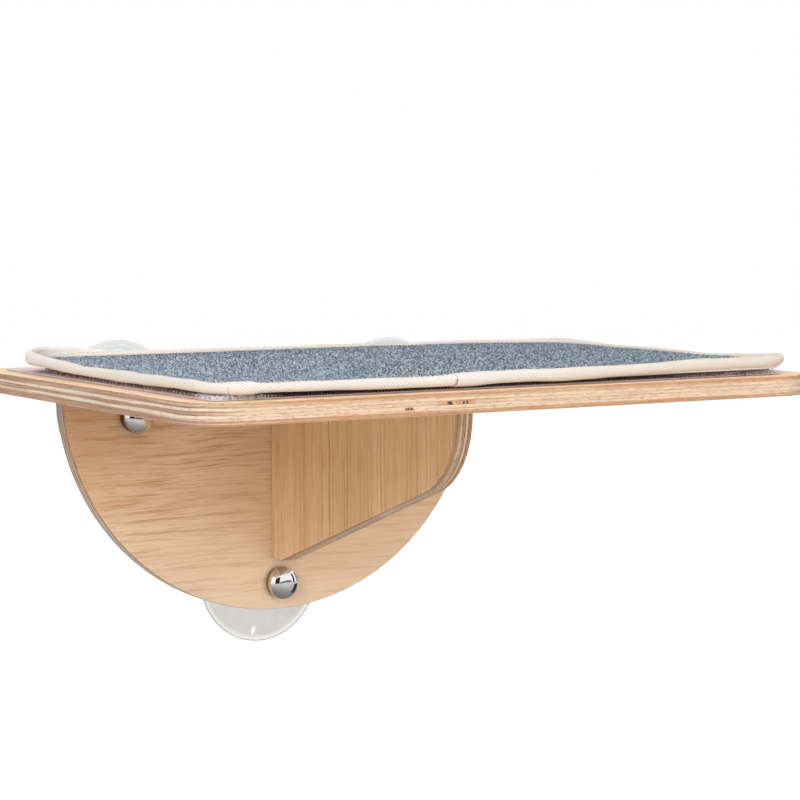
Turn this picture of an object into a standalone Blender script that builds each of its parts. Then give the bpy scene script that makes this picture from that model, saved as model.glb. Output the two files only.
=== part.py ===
"""Cat window perch: a plywood shelf carried by a half-round back plate and a sloping bracket.

Three clear suction cups behind the back plate hold the perch to a window pane. A bound carpet
mat lies on the shelf on hook-and-loop strips. The frame of the part has its origin on the pane,
in the perch's mirror plane, at the height of the shelf's underside. The room is towards -Y.
"""
import math

import bmesh
import bpy
from mathutils import Matrix, Vector

MM = 0.001

# Shelf board, 12 mm plywood
BOARD_WIDTH = 400 * MM
BOARD_DEPTH = 300 * MM
BOARD_THICKNESS = 12 * MM
BOARD_CORNER_RADIUS = 25 * MM

# Half-round back plate, flush with the back edge of the shelf
PLATE_RADIUS = 148 * MM
PLATE_THICKNESS = 12 * MM

# Sloping bracket under the middle of the shelf
BRACKET_THICKNESS = 12 * MM
BRACKET_SETBACK = 69 * MM
BRACKET_NUT_CLEARANCE = 5 * MM
BRACKET_TOE = 12 * MM
BRACKET_TOE_RADIUS = 4 * MM
BRACKET_NOSE_DROP = 43 * MM
BRACKET_NOSE_RADIUS = 50 * MM

# Sanded edges of the plywood, and the gap that seated pieces keep
WOOD_EDGE_ROUND = 0.8 * MM
SEAT_GAP = 0.3 * MM

# Suction cups
CUP_RADIUS = 42.5 * MM
CUP_RIM_LAND = 6 * MM
CUP_RIM_THICKNESS = 1.5 * MM
CUP_HOLLOW_DEPTH = 9 * MM
CUP_WALL = 2.2 * MM
CUP_NECK_WALL = 4.7 * MM
CUP_NECK_ROOF = 3.5 * MM
CUP_NECK_ROUND = 1 * MM
UPPER_CUP_MARGIN = 48 * MM
UPPER_CUP_DROP = 20 * MM
LOWER_CUP_MARGIN = 17 * MM

# Threaded studs moulded into the cups' necks, and the cap nuts on them
STUD_RADIUS = 3 * MM
STUD_HEAD_RADIUS = 8 * MM
STUD_HEAD_THICKNESS = 2.4 * MM
STUD_TIP_CHAMFER = 0.6 * MM
STUD_HOLE_CLEARANCE = 0.3 * MM
NUT_RADIUS = 10.5 * MM
NUT_SKIRT = 4 * MM
NUT_DOME_HEIGHT = 5.5 * MM
NUT_CROWN_WALL = 2 * MM
NUT_EDGE_CHAMFER = 0.5 * MM
NUT_TIP_ROOM = 0.5 * MM

# Countersunk wood screws
SCREW_RADIUS = 2 * MM
SCREW_HEAD_RADIUS = 4.2 * MM
SCREW_HEAD_HEIGHT = 2.4 * MM
SCREW_LENGTH = 35 * MM
SCREW_POINT = 4 * MM
SCREW_HEAD_LAND = 0.3 * MM
SCREW_RECESS_DEPTH = 1.6 * MM
SCREW_RECESS_WIDTH = 1 * MM
SCREW_RECESS_SPAN = 5.4 * MM
SCREW_RECESS_FLOOR_SHARE = 0.55
SCREW_HOLE_CLEARANCE = 0.3 * MM
BRACKET_TOP_SCREW_SHARES = (0.20, 0.50, 0.80)
BRACKET_BACK_SCREW_SHARES = (0.30, 0.72)
PLATE_TOP_SCREW_SHARE = 0.60

# Hook tape on the shelf and loop tape under the mat
HOOK_WIDTH = 25 * MM
LOOP_WIDTH = 20 * MM
TAPE_CORNER_RADIUS = 2 * MM
TAPE_END_GAP = 0.6 * MM
HOOK_THICKNESS = 1.5 * MM
LOOP_THICKNESS = 1.2 * MM
HOOK_PAST_MAT = 18 * MM
HOOK_LEFT_INSET = 1 * MM
HOOK_RIGHT_INSET = 12 * MM
HOOK_FRONT_INSET = 5 * MM

# Carpet mat with a binding tape folded round its edge
MAT_SIDE_MARGIN = 11 * MM
MAT_FRONT_MARGIN = 4 * MM
MAT_BACK_MARGIN = 38 * MM
MAT_CORNER_RADIUS = 25 * MM
CARPET_THICKNESS = 4.2 * MM
BINDING_THICKNESS = 0.9 * MM
BINDING_GROOVE_INSET = 2.4 * MM
BINDING_LIP = 7 * MM

# Overrun of the cutters past what they cut, and the distance under which points are one
CUT_OVERRUN = 2 * MM
MERGE_DISTANCE = 0.001 * MM

# Facets
CORNER_STEPS = 8
PLATE_STEPS = 44
CUP_SIDES = 36
NUT_SIDES = 28
STUD_SIDES = 16
SCREW_SIDES = 12
DOME_STEPS = 6
CUP_STEPS = 7
BINDING_STEPS = 8
EDGE_STEPS = 2
QUARTER_TURN = math.radians(90)
SMOOTH_ANGLE = math.radians(35)
BEVEL_ANGLE = math.radians(40)

# Share of a straight side that one rounded corner may take, and that two may take each
LONE_CORNER_SHARE = 0.9
PAIR_CORNER_SHARE = 0.5

# Sizes and places that follow from the sizes above
CUP_NECK_RADIUS = STUD_HEAD_RADIUS + CUP_NECK_WALL
CUP_POCKET_FLOOR = CUP_HOLLOW_DEPTH + CUP_WALL
CUP_POCKET_ROOF = CUP_POCKET_FLOOR + STUD_HEAD_THICKNESS + 2 * SEAT_GAP
CUP_HEIGHT = CUP_POCKET_ROOF + CUP_NECK_ROOF
CUP_STANDOFF = CUP_HEIGHT + SEAT_GAP
UPPER_CUP_X = PLATE_RADIUS - UPPER_CUP_MARGIN
LOWER_CUP_DROP = PLATE_RADIUS - LOWER_CUP_MARGIN
BRACKET_LENGTH = BOARD_DEPTH - PLATE_THICKNESS - BRACKET_SETBACK
BRACKET_HEIGHT = LOWER_CUP_DROP - NUT_RADIUS - BRACKET_NUT_CLEARANCE
GLASS_Y = 0.0
BACK_Y = GLASS_Y - CUP_STANDOFF
PLATE_FRONT_Y = BACK_Y - PLATE_THICKNESS
BOARD_FRONT_Y = BACK_Y - BOARD_DEPTH
BOARD_TOP_Z = BOARD_THICKNESS
HOOK_BOTTOM_Z = BOARD_TOP_Z + SEAT_GAP
LOOP_BOTTOM_Z = HOOK_BOTTOM_Z + HOOK_THICKNESS + SEAT_GAP
CARPET_BOTTOM_Z = LOOP_BOTTOM_Z + LOOP_THICKNESS + SEAT_GAP
MAT_WIDTH = BOARD_WIDTH - 2 * MAT_SIDE_MARGIN
MAT_DEPTH = BOARD_DEPTH - MAT_FRONT_MARGIN - MAT_BACK_MARGIN
MAT_FRONT_Y = BOARD_FRONT_Y + MAT_FRONT_MARGIN
MAT_BACK_Y = BACK_Y - MAT_BACK_MARGIN
MAT_PLACE = Matrix.Translation((0, MAT_FRONT_Y + MAT_DEPTH / 2, CARPET_BOTTOM_Z))
TAPE_INSET = BINDING_LIP + SEAT_GAP
TAPE_BACK_Y = MAT_BACK_Y - TAPE_INSET
LOOP_SIDE_X = MAT_WIDTH / 2 - TAPE_INSET
LOOP_FRONT_Y = MAT_FRONT_Y + TAPE_INSET
HOOK_LEFT_X = -MAT_WIDTH / 2 + HOOK_LEFT_INSET
HOOK_RIGHT_X = MAT_WIDTH / 2 - HOOK_RIGHT_INSET
HOOK_FRONT_Y = MAT_FRONT_Y + HOOK_FRONT_INSET
STUD_HOLE_RADIUS = STUD_RADIUS + STUD_HOLE_CLEARANCE
NUT_HEIGHT = NUT_SKIRT + NUT_DOME_HEIGHT
NUT_BORE_DEPTH = NUT_HEIGHT - NUT_CROWN_WALL
CUP_PLACES = {
    "lower": (0.0, -LOWER_CUP_DROP),
    "upper_left": (-UPPER_CUP_X, -UPPER_CUP_DROP),
    "upper_right": (UPPER_CUP_X, -UPPER_CUP_DROP),
}

# Turns a shape's +Z towards the room, so that it stands on the pane
OUT_OF_PANE = Matrix.Rotation(QUARTER_TURN, 4, "X")


def clear_scene():
    """Empty the scene, so that the part is all it holds."""
    for old in list(bpy.data.objects):
        bpy.data.objects.remove(old, do_unlink=True)


def make_material(name, colour, roughness, metallic=0.0, transmission=0.0):
    """A Principled material of one colour."""
    material = bpy.data.materials.new(name)
    material.use_nodes = True
    shader = material.node_tree.nodes["Principled BSDF"]
    shader.inputs["Base Color"].default_value = (*colour, 1.0)
    shader.inputs["Roughness"].default_value = roughness
    shader.inputs["Metallic"].default_value = metallic
    shader.inputs["Transmission Weight"].default_value = transmission
    material.diffuse_color = (*colour, 1.0)
    return material


def make_materials():
    """Every finish of the perch, by name."""
    return {
        "board_plywood": make_material("board_plywood", (0.79, 0.60, 0.40), 0.55),
        "plate_plywood": make_material("plate_plywood", (0.71, 0.50, 0.30), 0.50),
        "bracket_plywood": make_material("bracket_plywood", (0.62, 0.41, 0.23), 0.50),
        "clear_vinyl": make_material("clear_vinyl", (0.86, 0.86, 0.83), 0.08, transmission=0.9),
        "stud_steel": make_material("stud_steel", (0.62, 0.62, 0.62), 0.30, metallic=1.0),
        "cap_nut_chrome": make_material("cap_nut_chrome", (0.80, 0.80, 0.80), 0.06, metallic=1.0),
        "screw_zinc": make_material("screw_zinc", (0.66, 0.65, 0.60), 0.35, metallic=1.0),
        "hook_tape": make_material("hook_tape", (0.80, 0.76, 0.80), 0.70),
        "loop_tape": make_material("loop_tape", (0.84, 0.81, 0.84), 0.90),
        "carpet_pile": make_material("carpet_pile", (0.17, 0.23, 0.28), 0.95),
        "binding_cotton": make_material("binding_cotton", (0.87, 0.80, 0.67), 0.85),
    }


def mesh_of(name, bm, material=None):
    """Turn a bmesh into a mesh of one material, shaded smooth except at its sharp edges."""
    mesh = bpy.data.meshes.new(name)
    bm.to_mesh(mesh)
    bm.free()
    mesh.shade_smooth()
    mesh.set_sharp_from_angle(angle=SMOOTH_ANGLE)
    if material is not None:
        mesh.materials.append(material)
    return mesh


def add_object(name, mesh, place=Matrix.Identity(4)):
    """Put a mesh into the scene as a named object."""
    made = bpy.data.objects.new(name, mesh)
    bpy.context.scene.collection.objects.link(made)
    made.matrix_world = place
    return made


def filleted_outline(corners, steps=CORNER_STEPS):
    """A closed outline through (point, radius) corners, each rounded by an arc of its radius."""
    outline = []
    count = len(corners)
    for index, (point, radius) in enumerate(corners):
        corner = Vector(point)
        last_point, last_radius = corners[index - 1]
        next_point, next_radius = corners[(index + 1) % count]
        if not radius:
            outline.append(corner)
            continue
        back = Vector(last_point) - corner
        ahead = Vector(next_point) - corner
        half_angle = back.angle(ahead) / 2
        back_room = back.length * (PAIR_CORNER_SHARE if last_radius else LONE_CORNER_SHARE)
        ahead_room = ahead.length * (PAIR_CORNER_SHARE if next_radius else LONE_CORNER_SHARE)
        reach = min(radius / math.tan(half_angle), back_room, ahead_room)
        fitted_radius = reach * math.tan(half_angle)
        start = corner + back.normalized() * reach
        bisector = (back.normalized() + ahead.normalized()).normalized()
        centre = corner + bisector * (fitted_radius / math.sin(half_angle))
        sweep = (start - centre).angle_signed(corner + ahead.normalized() * reach - centre)
        for step in range(steps + 1):
            turn = Matrix.Rotation(-sweep * step / steps, 2)
            outline.append(centre + turn @ (start - centre))
    return outline


def rounded_rectangle(width, depth, radius, inset=0.0, steps=CORNER_STEPS):
    """A rectangle round the origin with round corners, counterclockwise, drawn in by an inset."""
    outline = []
    corner_radius = min(radius, width / 2, depth / 2)
    for quarter, (side, end) in enumerate(((1, -1), (1, 1), (-1, 1), (-1, -1))):
        centre = Vector((side * (width / 2 - corner_radius), end * (depth / 2 - corner_radius)))
        for step in range(steps + 1):
            angle = QUARTER_TURN * (quarter - 1 + step / steps)
            ray = Vector((math.cos(angle), math.sin(angle)))
            outline.append(centre + ray * (corner_radius - inset))
    return outline


def slab(outline, thickness, along=(0, 0, 1), lift=lambda p: (p.x, p.y, 0.0)):
    """A solid of one thickness with the outline as its face; lift sets the outline in space."""
    bm = bmesh.new()
    face = bm.faces.new([bm.verts.new(lift(point)) for point in outline])
    raised = bmesh.ops.extrude_face_region(bm, geom=[face])
    new_verts = [item for item in raised["geom"] if isinstance(item, bmesh.types.BMVert)]
    bmesh.ops.translate(bm, verts=new_verts, vec=Vector(along) * thickness)
    bmesh.ops.recalc_face_normals(bm, faces=bm.faces)
    return bm


def turned(profile, sides):
    """A solid turned round Z from (radius, height) points that run from pole to pole."""
    bm = bmesh.new()
    verts = [bm.verts.new((radius, 0.0, height)) for radius, height in profile]
    edges = [bm.edges.new(pair) for pair in zip(verts, verts[1:])]
    bmesh.ops.spin(
        bm, geom=verts + edges, cent=(0, 0, 0), axis=(0, 0, 1),
        angle=math.tau, steps=sides, use_merge=True,
    )
    bmesh.ops.remove_doubles(bm, verts=bm.verts, dist=MERGE_DISTANCE)
    bmesh.ops.recalc_face_normals(bm, faces=bm.faces)
    return bm


def add_bevel(piece):
    """Sand the sharp edges of a plywood piece."""
    bevel = piece.modifiers.new("sanded_edges", "BEVEL")
    bevel.width = WOOD_EDGE_ROUND
    bevel.segments = EDGE_STEPS
    bevel.limit_method = "ANGLE"
    bevel.angle_limit = BEVEL_ANGLE


def cut(piece, cutters):
    """Take the cutters' shapes out of a piece, each by its own Boolean."""
    for cutter in cutters:
        cutter.hide_render = True
        cutter.display_type = "WIRE"
        boolean = piece.modifiers.new(cutter.name, "BOOLEAN")
        boolean.operation = "DIFFERENCE"
        boolean.solver = "EXACT"
        boolean.object = cutter


def standing_screw_places():
    """Screws that go down through the shelf, by name, at the shelf's top face."""
    places = {}
    for number, share in enumerate(BRACKET_TOP_SCREW_SHARES, start=1):
        y = PLATE_FRONT_Y - BRACKET_LENGTH * share
        places[f"shelf_to_bracket_screw_{number}"] = Matrix.Translation((0, y, BOARD_TOP_Z))
    screw_x = UPPER_CUP_X * PLATE_TOP_SCREW_SHARE
    plate_middle_y = (BACK_Y + PLATE_FRONT_Y) / 2
    for side, x in (("left", -screw_x), ("right", screw_x)):
        place = Matrix.Translation((x, plate_middle_y, BOARD_TOP_Z))
        places[f"shelf_to_plate_screw_{side}"] = place
    return places


def lying_screw_places():
    """Screws that go forwards through the back plate into the bracket, by name."""
    places = {}
    into_room = Matrix.Rotation(-QUARTER_TURN, 4, "X")
    for number, share in enumerate(BRACKET_BACK_SCREW_SHARES, start=1):
        spot = Matrix.Translation((0, BACK_Y, -BRACKET_HEIGHT * share))
        places[f"plate_to_bracket_screw_{number}"] = spot @ into_room
    return places


def screw_hole(name, place):
    """Cutter for one countersunk screw: the screw's own shape and a clearance all round."""
    head_radius = SCREW_HEAD_RADIUS + SCREW_HOLE_CLEARANCE
    hole_radius = SCREW_RADIUS + SCREW_HOLE_CLEARANCE
    cone_bottom = -SCREW_HEAD_HEIGHT - SCREW_HOLE_CLEARANCE
    profile = [
        (0, CUT_OVERRUN),
        (head_radius, CUT_OVERRUN),
        (head_radius, -SCREW_HEAD_LAND - SCREW_HOLE_CLEARANCE),
        (hole_radius, cone_bottom),
        (hole_radius, -SCREW_LENGTH - SCREW_HOLE_CLEARANCE),
        (0, -SCREW_LENGTH - SCREW_HOLE_CLEARANCE),
    ]
    name = f"cut_{name}"
    return add_object(name, mesh_of(name, turned(profile, SCREW_SIDES)), place)


def screw_mesh(material):
    """A countersunk wood screw, head up, with its top at zero height."""
    profile = [
        (0, -SEAT_GAP),
        (SCREW_HEAD_RADIUS, -SEAT_GAP),
        (SCREW_HEAD_RADIUS, -SEAT_GAP - SCREW_HEAD_LAND),
        (SCREW_RADIUS, -SCREW_HEAD_HEIGHT),
        (SCREW_RADIUS, -SCREW_LENGTH + SCREW_POINT),
        (0, -SCREW_LENGTH),
    ]
    return mesh_of("wood_screw", turned(profile, SCREW_SIDES), material)


def recess_cutter(name, place):
    """Cross recess of a screw's head: two crossed blocks that taper towards their bottom."""
    bm = bmesh.new()
    arm = SCREW_RECESS_SPAN / 2
    half = SCREW_RECESS_WIDTH / 2
    cross = [
        (arm, -half), (arm, half), (half, half), (half, arm), (-half, arm), (-half, half),
        (-arm, half), (-arm, -half), (-half, -half), (-half, -arm), (half, -arm), (half, -half),
    ]
    top_z = CUT_OVERRUN
    bottom_z = -SEAT_GAP - SCREW_RECESS_DEPTH
    top = [bm.verts.new((x, y, top_z)) for x, y in cross]
    floor_share = SCREW_RECESS_FLOOR_SHARE
    bottom = [bm.verts.new((x * floor_share, y * floor_share, bottom_z)) for x, y in cross]
    bm.faces.new(top)
    bm.faces.new(bottom[::-1])
    for index, corner in enumerate(top):
        after = (index + 1) % len(top)
        bm.faces.new((corner, bottom[index], bottom[after], top[after]))
    bmesh.ops.recalc_face_normals(bm, faces=bm.faces)
    name = f"cut_recess_{name}"
    return add_object(name, mesh_of(name, bm), place)


def add_screws(material):
    """All wood screws, each with its cross recess."""
    mesh = screw_mesh(material)
    for name, place in {**standing_screw_places(), **lying_screw_places()}.items():
        screw = add_object(name, mesh, place)
        cut(screw, [recess_cutter(name, place)])


def add_board(material):
    """Shelf board: a rounded rectangle, drilled and countersunk for its five screws."""
    outline = rounded_rectangle(BOARD_WIDTH, BOARD_DEPTH, BOARD_CORNER_RADIUS)
    place = Matrix.Translation((0, (BACK_Y + BOARD_FRONT_Y) / 2, 0))
    mesh = mesh_of("shelf_board", slab(outline, BOARD_THICKNESS), material)
    board = add_object("shelf_board", mesh, place)
    add_bevel(board)
    screws = standing_screw_places()
    cut(board, [screw_hole(f"board_{name}", spot) for name, spot in screws.items()])


def add_back_plate(material):
    """Half-round plate: three holes for the studs, two for the bracket, two for the shelf."""
    outline = []
    for step in range(PLATE_STEPS + 1):
        angle = math.pi + math.pi * step / PLATE_STEPS
        outline.append(Vector((PLATE_RADIUS * math.cos(angle), PLATE_RADIUS * math.sin(angle))))
    bm = slab(outline, PLATE_THICKNESS, (0, 1, 0), lambda p: (p.x, PLATE_FRONT_Y, p.y))
    mesh = mesh_of("back_plate", bm, material)
    plate = add_object("back_plate", mesh, Matrix.Translation((0, 0, -SEAT_GAP)))
    add_bevel(plate)
    cutters = []
    depth = PLATE_THICKNESS + CUT_OVERRUN
    stud_hole = [
        (0, depth),
        (STUD_HOLE_RADIUS, depth),
        (STUD_HOLE_RADIUS, -CUT_OVERRUN),
        (0, -CUT_OVERRUN),
    ]
    for key, (x, z) in CUP_PLACES.items():
        name = f"cut_stud_{key}"
        place = Matrix.Translation((x, BACK_Y, z)) @ OUT_OF_PANE
        cutters.append(add_object(name, mesh_of(name, turned(stud_hole, STUD_SIDES)), place))
    for name, place in standing_screw_places().items():
        if "plate" in name:
            cutters.append(screw_hole(f"plate_{name}", place))
    for name, place in lying_screw_places().items():
        cutters.append(screw_hole(f"plate_{name}", place))
    cut(plate, cutters)


def add_bracket(material):
    """Bracket: deep at the back plate, sloping up to a round nose, drilled for five screws."""
    back = SEAT_GAP
    top = -SEAT_GAP
    corners = [
        ((back, top), 0.0),
        ((BRACKET_LENGTH, top), 0.0),
        ((BRACKET_LENGTH, -BRACKET_NOSE_DROP), BRACKET_NOSE_RADIUS),
        ((BRACKET_TOE, -BRACKET_HEIGHT), BRACKET_TOE_RADIUS),
        ((back, -BRACKET_HEIGHT), 0.0),
    ]
    outline = filleted_outline(corners)
    left_x = -BRACKET_THICKNESS / 2
    bm = slab(outline, BRACKET_THICKNESS, (1, 0, 0), lambda p: (left_x, PLATE_FRONT_Y - p.x, p.y))
    bracket = add_object("bracket", mesh_of("bracket", bm, material))
    add_bevel(bracket)
    cutters = []
    for name, place in {**standing_screw_places(), **lying_screw_places()}.items():
        if "bracket" in name:
            cutters.append(screw_hole(f"bracket_{name}", place))
    cut(bracket, cutters)


def cup_profile():
    """Profile of a suction cup, from the middle of its hollow round to the stud's hole."""
    hollow_radius = CUP_RADIUS - CUP_RIM_LAND
    profile = []
    for step in range(CUP_STEPS + 1):
        share = step / CUP_STEPS
        profile.append((hollow_radius * share, CUP_HOLLOW_DEPTH * (1 - share * share)))
    profile.append((CUP_RADIUS, 0.0))
    profile.append((CUP_RADIUS, CUP_RIM_THICKNESS))
    neck_foot = CUP_HOLLOW_DEPTH * (1 - (CUP_NECK_RADIUS / hollow_radius) ** 2) + CUP_WALL
    for step in range(CUP_STEPS):
        share = 1 - step / CUP_STEPS
        radius = CUP_NECK_RADIUS + (hollow_radius - CUP_NECK_RADIUS) * share
        hollow = CUP_HOLLOW_DEPTH * (1 - (radius / hollow_radius) ** 2)
        wall = CUP_RIM_THICKNESS + (CUP_WALL - CUP_RIM_THICKNESS) * (1 - share)
        profile.append((radius, hollow + wall))
    pocket_radius = STUD_HEAD_RADIUS + SEAT_GAP
    profile += [
        (CUP_NECK_RADIUS, neck_foot),
        (CUP_NECK_RADIUS, CUP_HEIGHT - CUP_NECK_ROUND),
        (CUP_NECK_RADIUS - CUP_NECK_ROUND, CUP_HEIGHT),
        (STUD_HOLE_RADIUS, CUP_HEIGHT),
        (STUD_HOLE_RADIUS, CUP_POCKET_ROOF),
        (pocket_radius, CUP_POCKET_ROOF),
        (pocket_radius, CUP_POCKET_FLOOR),
        (0.0, CUP_POCKET_FLOOR),
    ]
    return profile


def stud_profile():
    """Profile of a stud: a flat head in the cup's neck, and a shank that ends in the cap nut."""
    head_bottom = CUP_POCKET_FLOOR + SEAT_GAP
    head_top = head_bottom + STUD_HEAD_THICKNESS
    tip = CUP_STANDOFF + PLATE_THICKNESS + SEAT_GAP + NUT_BORE_DEPTH - NUT_TIP_ROOM
    return [
        (0.0, head_bottom),
        (STUD_HEAD_RADIUS, head_bottom),
        (STUD_HEAD_RADIUS, head_top),
        (STUD_RADIUS, head_top),
        (STUD_RADIUS, tip - STUD_TIP_CHAMFER),
        (STUD_RADIUS - STUD_TIP_CHAMFER, tip),
        (0.0, tip),
    ]


def nut_profile():
    """Profile of a cap nut, standing on zero height, with its bore open at the bottom."""
    profile = [
        (0.0, NUT_BORE_DEPTH),
        (STUD_HOLE_RADIUS, NUT_BORE_DEPTH),
        (STUD_HOLE_RADIUS, 0.0),
        (NUT_RADIUS - NUT_EDGE_CHAMFER, 0.0),
        (NUT_RADIUS, NUT_EDGE_CHAMFER),
    ]
    for step in range(DOME_STEPS + 1):
        angle = QUARTER_TURN * step / DOME_STEPS
        radius = NUT_RADIUS * math.cos(angle) if step < DOME_STEPS else 0.0
        profile.append((radius, NUT_SKIRT + NUT_DOME_HEIGHT * math.sin(angle)))
    return profile


def add_suction_mounts(materials):
    """Three suction cups, their studs and the cap nuts in front of the back plate."""
    for key, (x, z) in CUP_PLACES.items():
        at_pane = Matrix.Translation((x, GLASS_Y, z)) @ OUT_OF_PANE
        at_front = Matrix.Translation((x, PLATE_FRONT_Y - SEAT_GAP, z)) @ OUT_OF_PANE
        parts = {
            f"suction_cup_{key}": (cup_profile(), CUP_SIDES, "clear_vinyl", at_pane),
            f"cup_stud_{key}": (stud_profile(), STUD_SIDES, "stud_steel", at_pane),
            f"cap_nut_{key}": (nut_profile(), NUT_SIDES, "cap_nut_chrome", at_front),
        }
        for name, (profile, sides, finish, place) in parts.items():
            add_object(name, mesh_of(name, turned(profile, sides), materials[finish]), place)


def add_tape(name, low, high, bottom_z, thickness, material):
    """One strip of tape between two corners in plan."""
    width = high[0] - low[0]
    depth = high[1] - low[1]
    outline = rounded_rectangle(width, depth, TAPE_CORNER_RADIUS, steps=EDGE_STEPS)
    middle = Matrix.Translation(((low[0] + high[0]) / 2, (low[1] + high[1]) / 2, bottom_z))
    return add_object(name, mesh_of(name, slab(outline, thickness), material), middle)


def tape_frame(left, right, front_y, back_y, width):
    """Corners in plan of four tapes: two side tapes as given and two that run between them."""
    low_x = left[1][0] + TAPE_END_GAP
    high_x = right[0][0] - TAPE_END_GAP
    front = ((low_x, front_y), (high_x, front_y + width))
    back = ((low_x, back_y - width), (high_x, back_y))
    return {"left": left, "right": right, "front": front, "back": back}


def add_hook_tapes(material):
    """Four strips of hook tape stuck to the shelf, the side ones running on behind the mat."""
    side_back = MAT_BACK_Y + HOOK_PAST_MAT
    left = ((HOOK_LEFT_X, HOOK_FRONT_Y), (HOOK_LEFT_X + HOOK_WIDTH, side_back))
    right = ((HOOK_RIGHT_X - HOOK_WIDTH, HOOK_FRONT_Y), (HOOK_RIGHT_X, side_back))
    strips = tape_frame(left, right, HOOK_FRONT_Y, TAPE_BACK_Y, HOOK_WIDTH)
    for key, (low, high) in strips.items():
        add_tape(f"hook_tape_{key}", low, high, HOOK_BOTTOM_Z, HOOK_THICKNESS, material)


def add_loop_tapes(material):
    """Four strips of loop tape sewn under the mat, just inside its binding."""
    side_front = LOOP_FRONT_Y + MAT_CORNER_RADIUS - TAPE_INSET
    side_back = TAPE_BACK_Y - MAT_CORNER_RADIUS + TAPE_INSET
    left = ((-LOOP_SIDE_X, side_front), (-LOOP_SIDE_X + LOOP_WIDTH, side_back))
    right = ((LOOP_SIDE_X - LOOP_WIDTH, side_front), (LOOP_SIDE_X, side_back))
    strips = tape_frame(left, right, LOOP_FRONT_Y, TAPE_BACK_Y, LOOP_WIDTH)
    for key, (low, high) in strips.items():
        add_tape(f"loop_tape_{key}", low, high, LOOP_BOTTOM_Z, LOOP_THICKNESS, material)


def add_carpet(material):
    """Carpet of the mat, its edge held inside the binding's fold."""
    inset = BINDING_GROOVE_INSET + SEAT_GAP
    outline = rounded_rectangle(MAT_WIDTH, MAT_DEPTH, MAT_CORNER_RADIUS, inset)
    mesh = mesh_of("mat_carpet", slab(outline, CARPET_THICKNESS), material)
    add_object("mat_carpet", mesh, MAT_PLACE)


def binding_section():
    """Section of the folded tape: insets from the mat's edge, heights over the carpet's back."""
    fold_height = CARPET_THICKNESS + 2 * (BINDING_THICKNESS + SEAT_GAP)
    fold_radius = fold_height / 2
    bottom = -SEAT_GAP - BINDING_THICKNESS
    top = bottom + fold_height
    section = [(BINDING_LIP, bottom)]
    for step in range(BINDING_STEPS + 1):
        angle = QUARTER_TURN + math.pi * step / BINDING_STEPS
        inset = fold_radius * (1 + math.cos(angle))
        section.append((inset, bottom + fold_radius * (1 - math.sin(angle))))
    section += [
        (BINDING_LIP, top),
        (BINDING_LIP, top - BINDING_THICKNESS),
        (BINDING_GROOVE_INSET, top - BINDING_THICKNESS),
        (BINDING_GROOVE_INSET, bottom + BINDING_THICKNESS),
        (BINDING_LIP, bottom + BINDING_THICKNESS),
    ]
    return section


def add_binding(material):
    """Binding tape: its folded section carried once round the mat's edge."""
    bm = bmesh.new()
    rings = []
    for inset, height in binding_section():
        outline = rounded_rectangle(MAT_WIDTH, MAT_DEPTH, MAT_CORNER_RADIUS, inset)
        rings.append([bm.verts.new((point.x, point.y, height)) for point in outline])
    for ring, following in zip(rings, rings[1:] + rings[:1]):
        for index, vert in enumerate(ring):
            after = (index + 1) % len(ring)
            bm.faces.new((vert, ring[after], following[after], following[index]))
    bmesh.ops.recalc_face_normals(bm, faces=bm.faces)
    add_object("mat_binding", mesh_of("mat_binding", bm, material), MAT_PLACE)


def build():
    """Make the whole perch."""
    clear_scene()
    materials = make_materials()
    add_board(materials["board_plywood"])
    add_back_plate(materials["plate_plywood"])
    add_bracket(materials["bracket_plywood"])
    add_suction_mounts(materials)
    add_screws(materials["screw_zinc"])
    add_hook_tapes(materials["hook_tape"])
    add_loop_tapes(materials["loop_tape"])
    add_carpet(materials["carpet_pile"])
    add_binding(materials["binding_cotton"])
    bpy.context.view_layer.update()


build()
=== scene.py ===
# %% [markdown]
# # A cat's window perch
# A small plywood shelf hangs on a window pane. Under it stand a half-round back plate and a
# sloping bracket, behind the plate sit three clear suction cups, and on the shelf lies a carpet
# mat with a cream binding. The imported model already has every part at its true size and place.
# This script keeps that model as a fixed frame and gives each part its surface, its soft shape
# and its small detail. We load the frame first and note its box, so that the finished perch can
# be measured against it.

# %% Load the frame
import math
import random

import bmesh
import bpy
from mathutils import Matrix, Quaternion, Vector


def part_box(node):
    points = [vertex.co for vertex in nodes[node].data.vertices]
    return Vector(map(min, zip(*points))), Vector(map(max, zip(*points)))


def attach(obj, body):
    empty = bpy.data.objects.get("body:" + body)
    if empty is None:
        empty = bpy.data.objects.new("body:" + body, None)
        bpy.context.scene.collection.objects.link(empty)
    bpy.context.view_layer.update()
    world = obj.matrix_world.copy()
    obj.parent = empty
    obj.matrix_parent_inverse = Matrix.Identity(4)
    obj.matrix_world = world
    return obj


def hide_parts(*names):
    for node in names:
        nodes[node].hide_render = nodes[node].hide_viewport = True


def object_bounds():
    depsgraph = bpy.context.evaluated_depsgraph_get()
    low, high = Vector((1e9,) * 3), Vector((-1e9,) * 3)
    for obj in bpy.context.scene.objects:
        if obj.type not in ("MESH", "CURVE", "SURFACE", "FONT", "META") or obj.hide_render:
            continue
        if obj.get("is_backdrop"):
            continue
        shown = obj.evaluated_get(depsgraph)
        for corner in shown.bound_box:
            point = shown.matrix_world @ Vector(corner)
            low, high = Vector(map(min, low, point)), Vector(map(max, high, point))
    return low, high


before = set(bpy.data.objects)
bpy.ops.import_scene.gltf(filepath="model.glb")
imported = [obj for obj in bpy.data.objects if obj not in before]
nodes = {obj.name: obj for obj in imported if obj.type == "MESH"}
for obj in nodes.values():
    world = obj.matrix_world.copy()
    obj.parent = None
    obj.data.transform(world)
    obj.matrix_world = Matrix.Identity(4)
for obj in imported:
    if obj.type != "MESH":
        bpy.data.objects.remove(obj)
cad_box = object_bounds()

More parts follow.
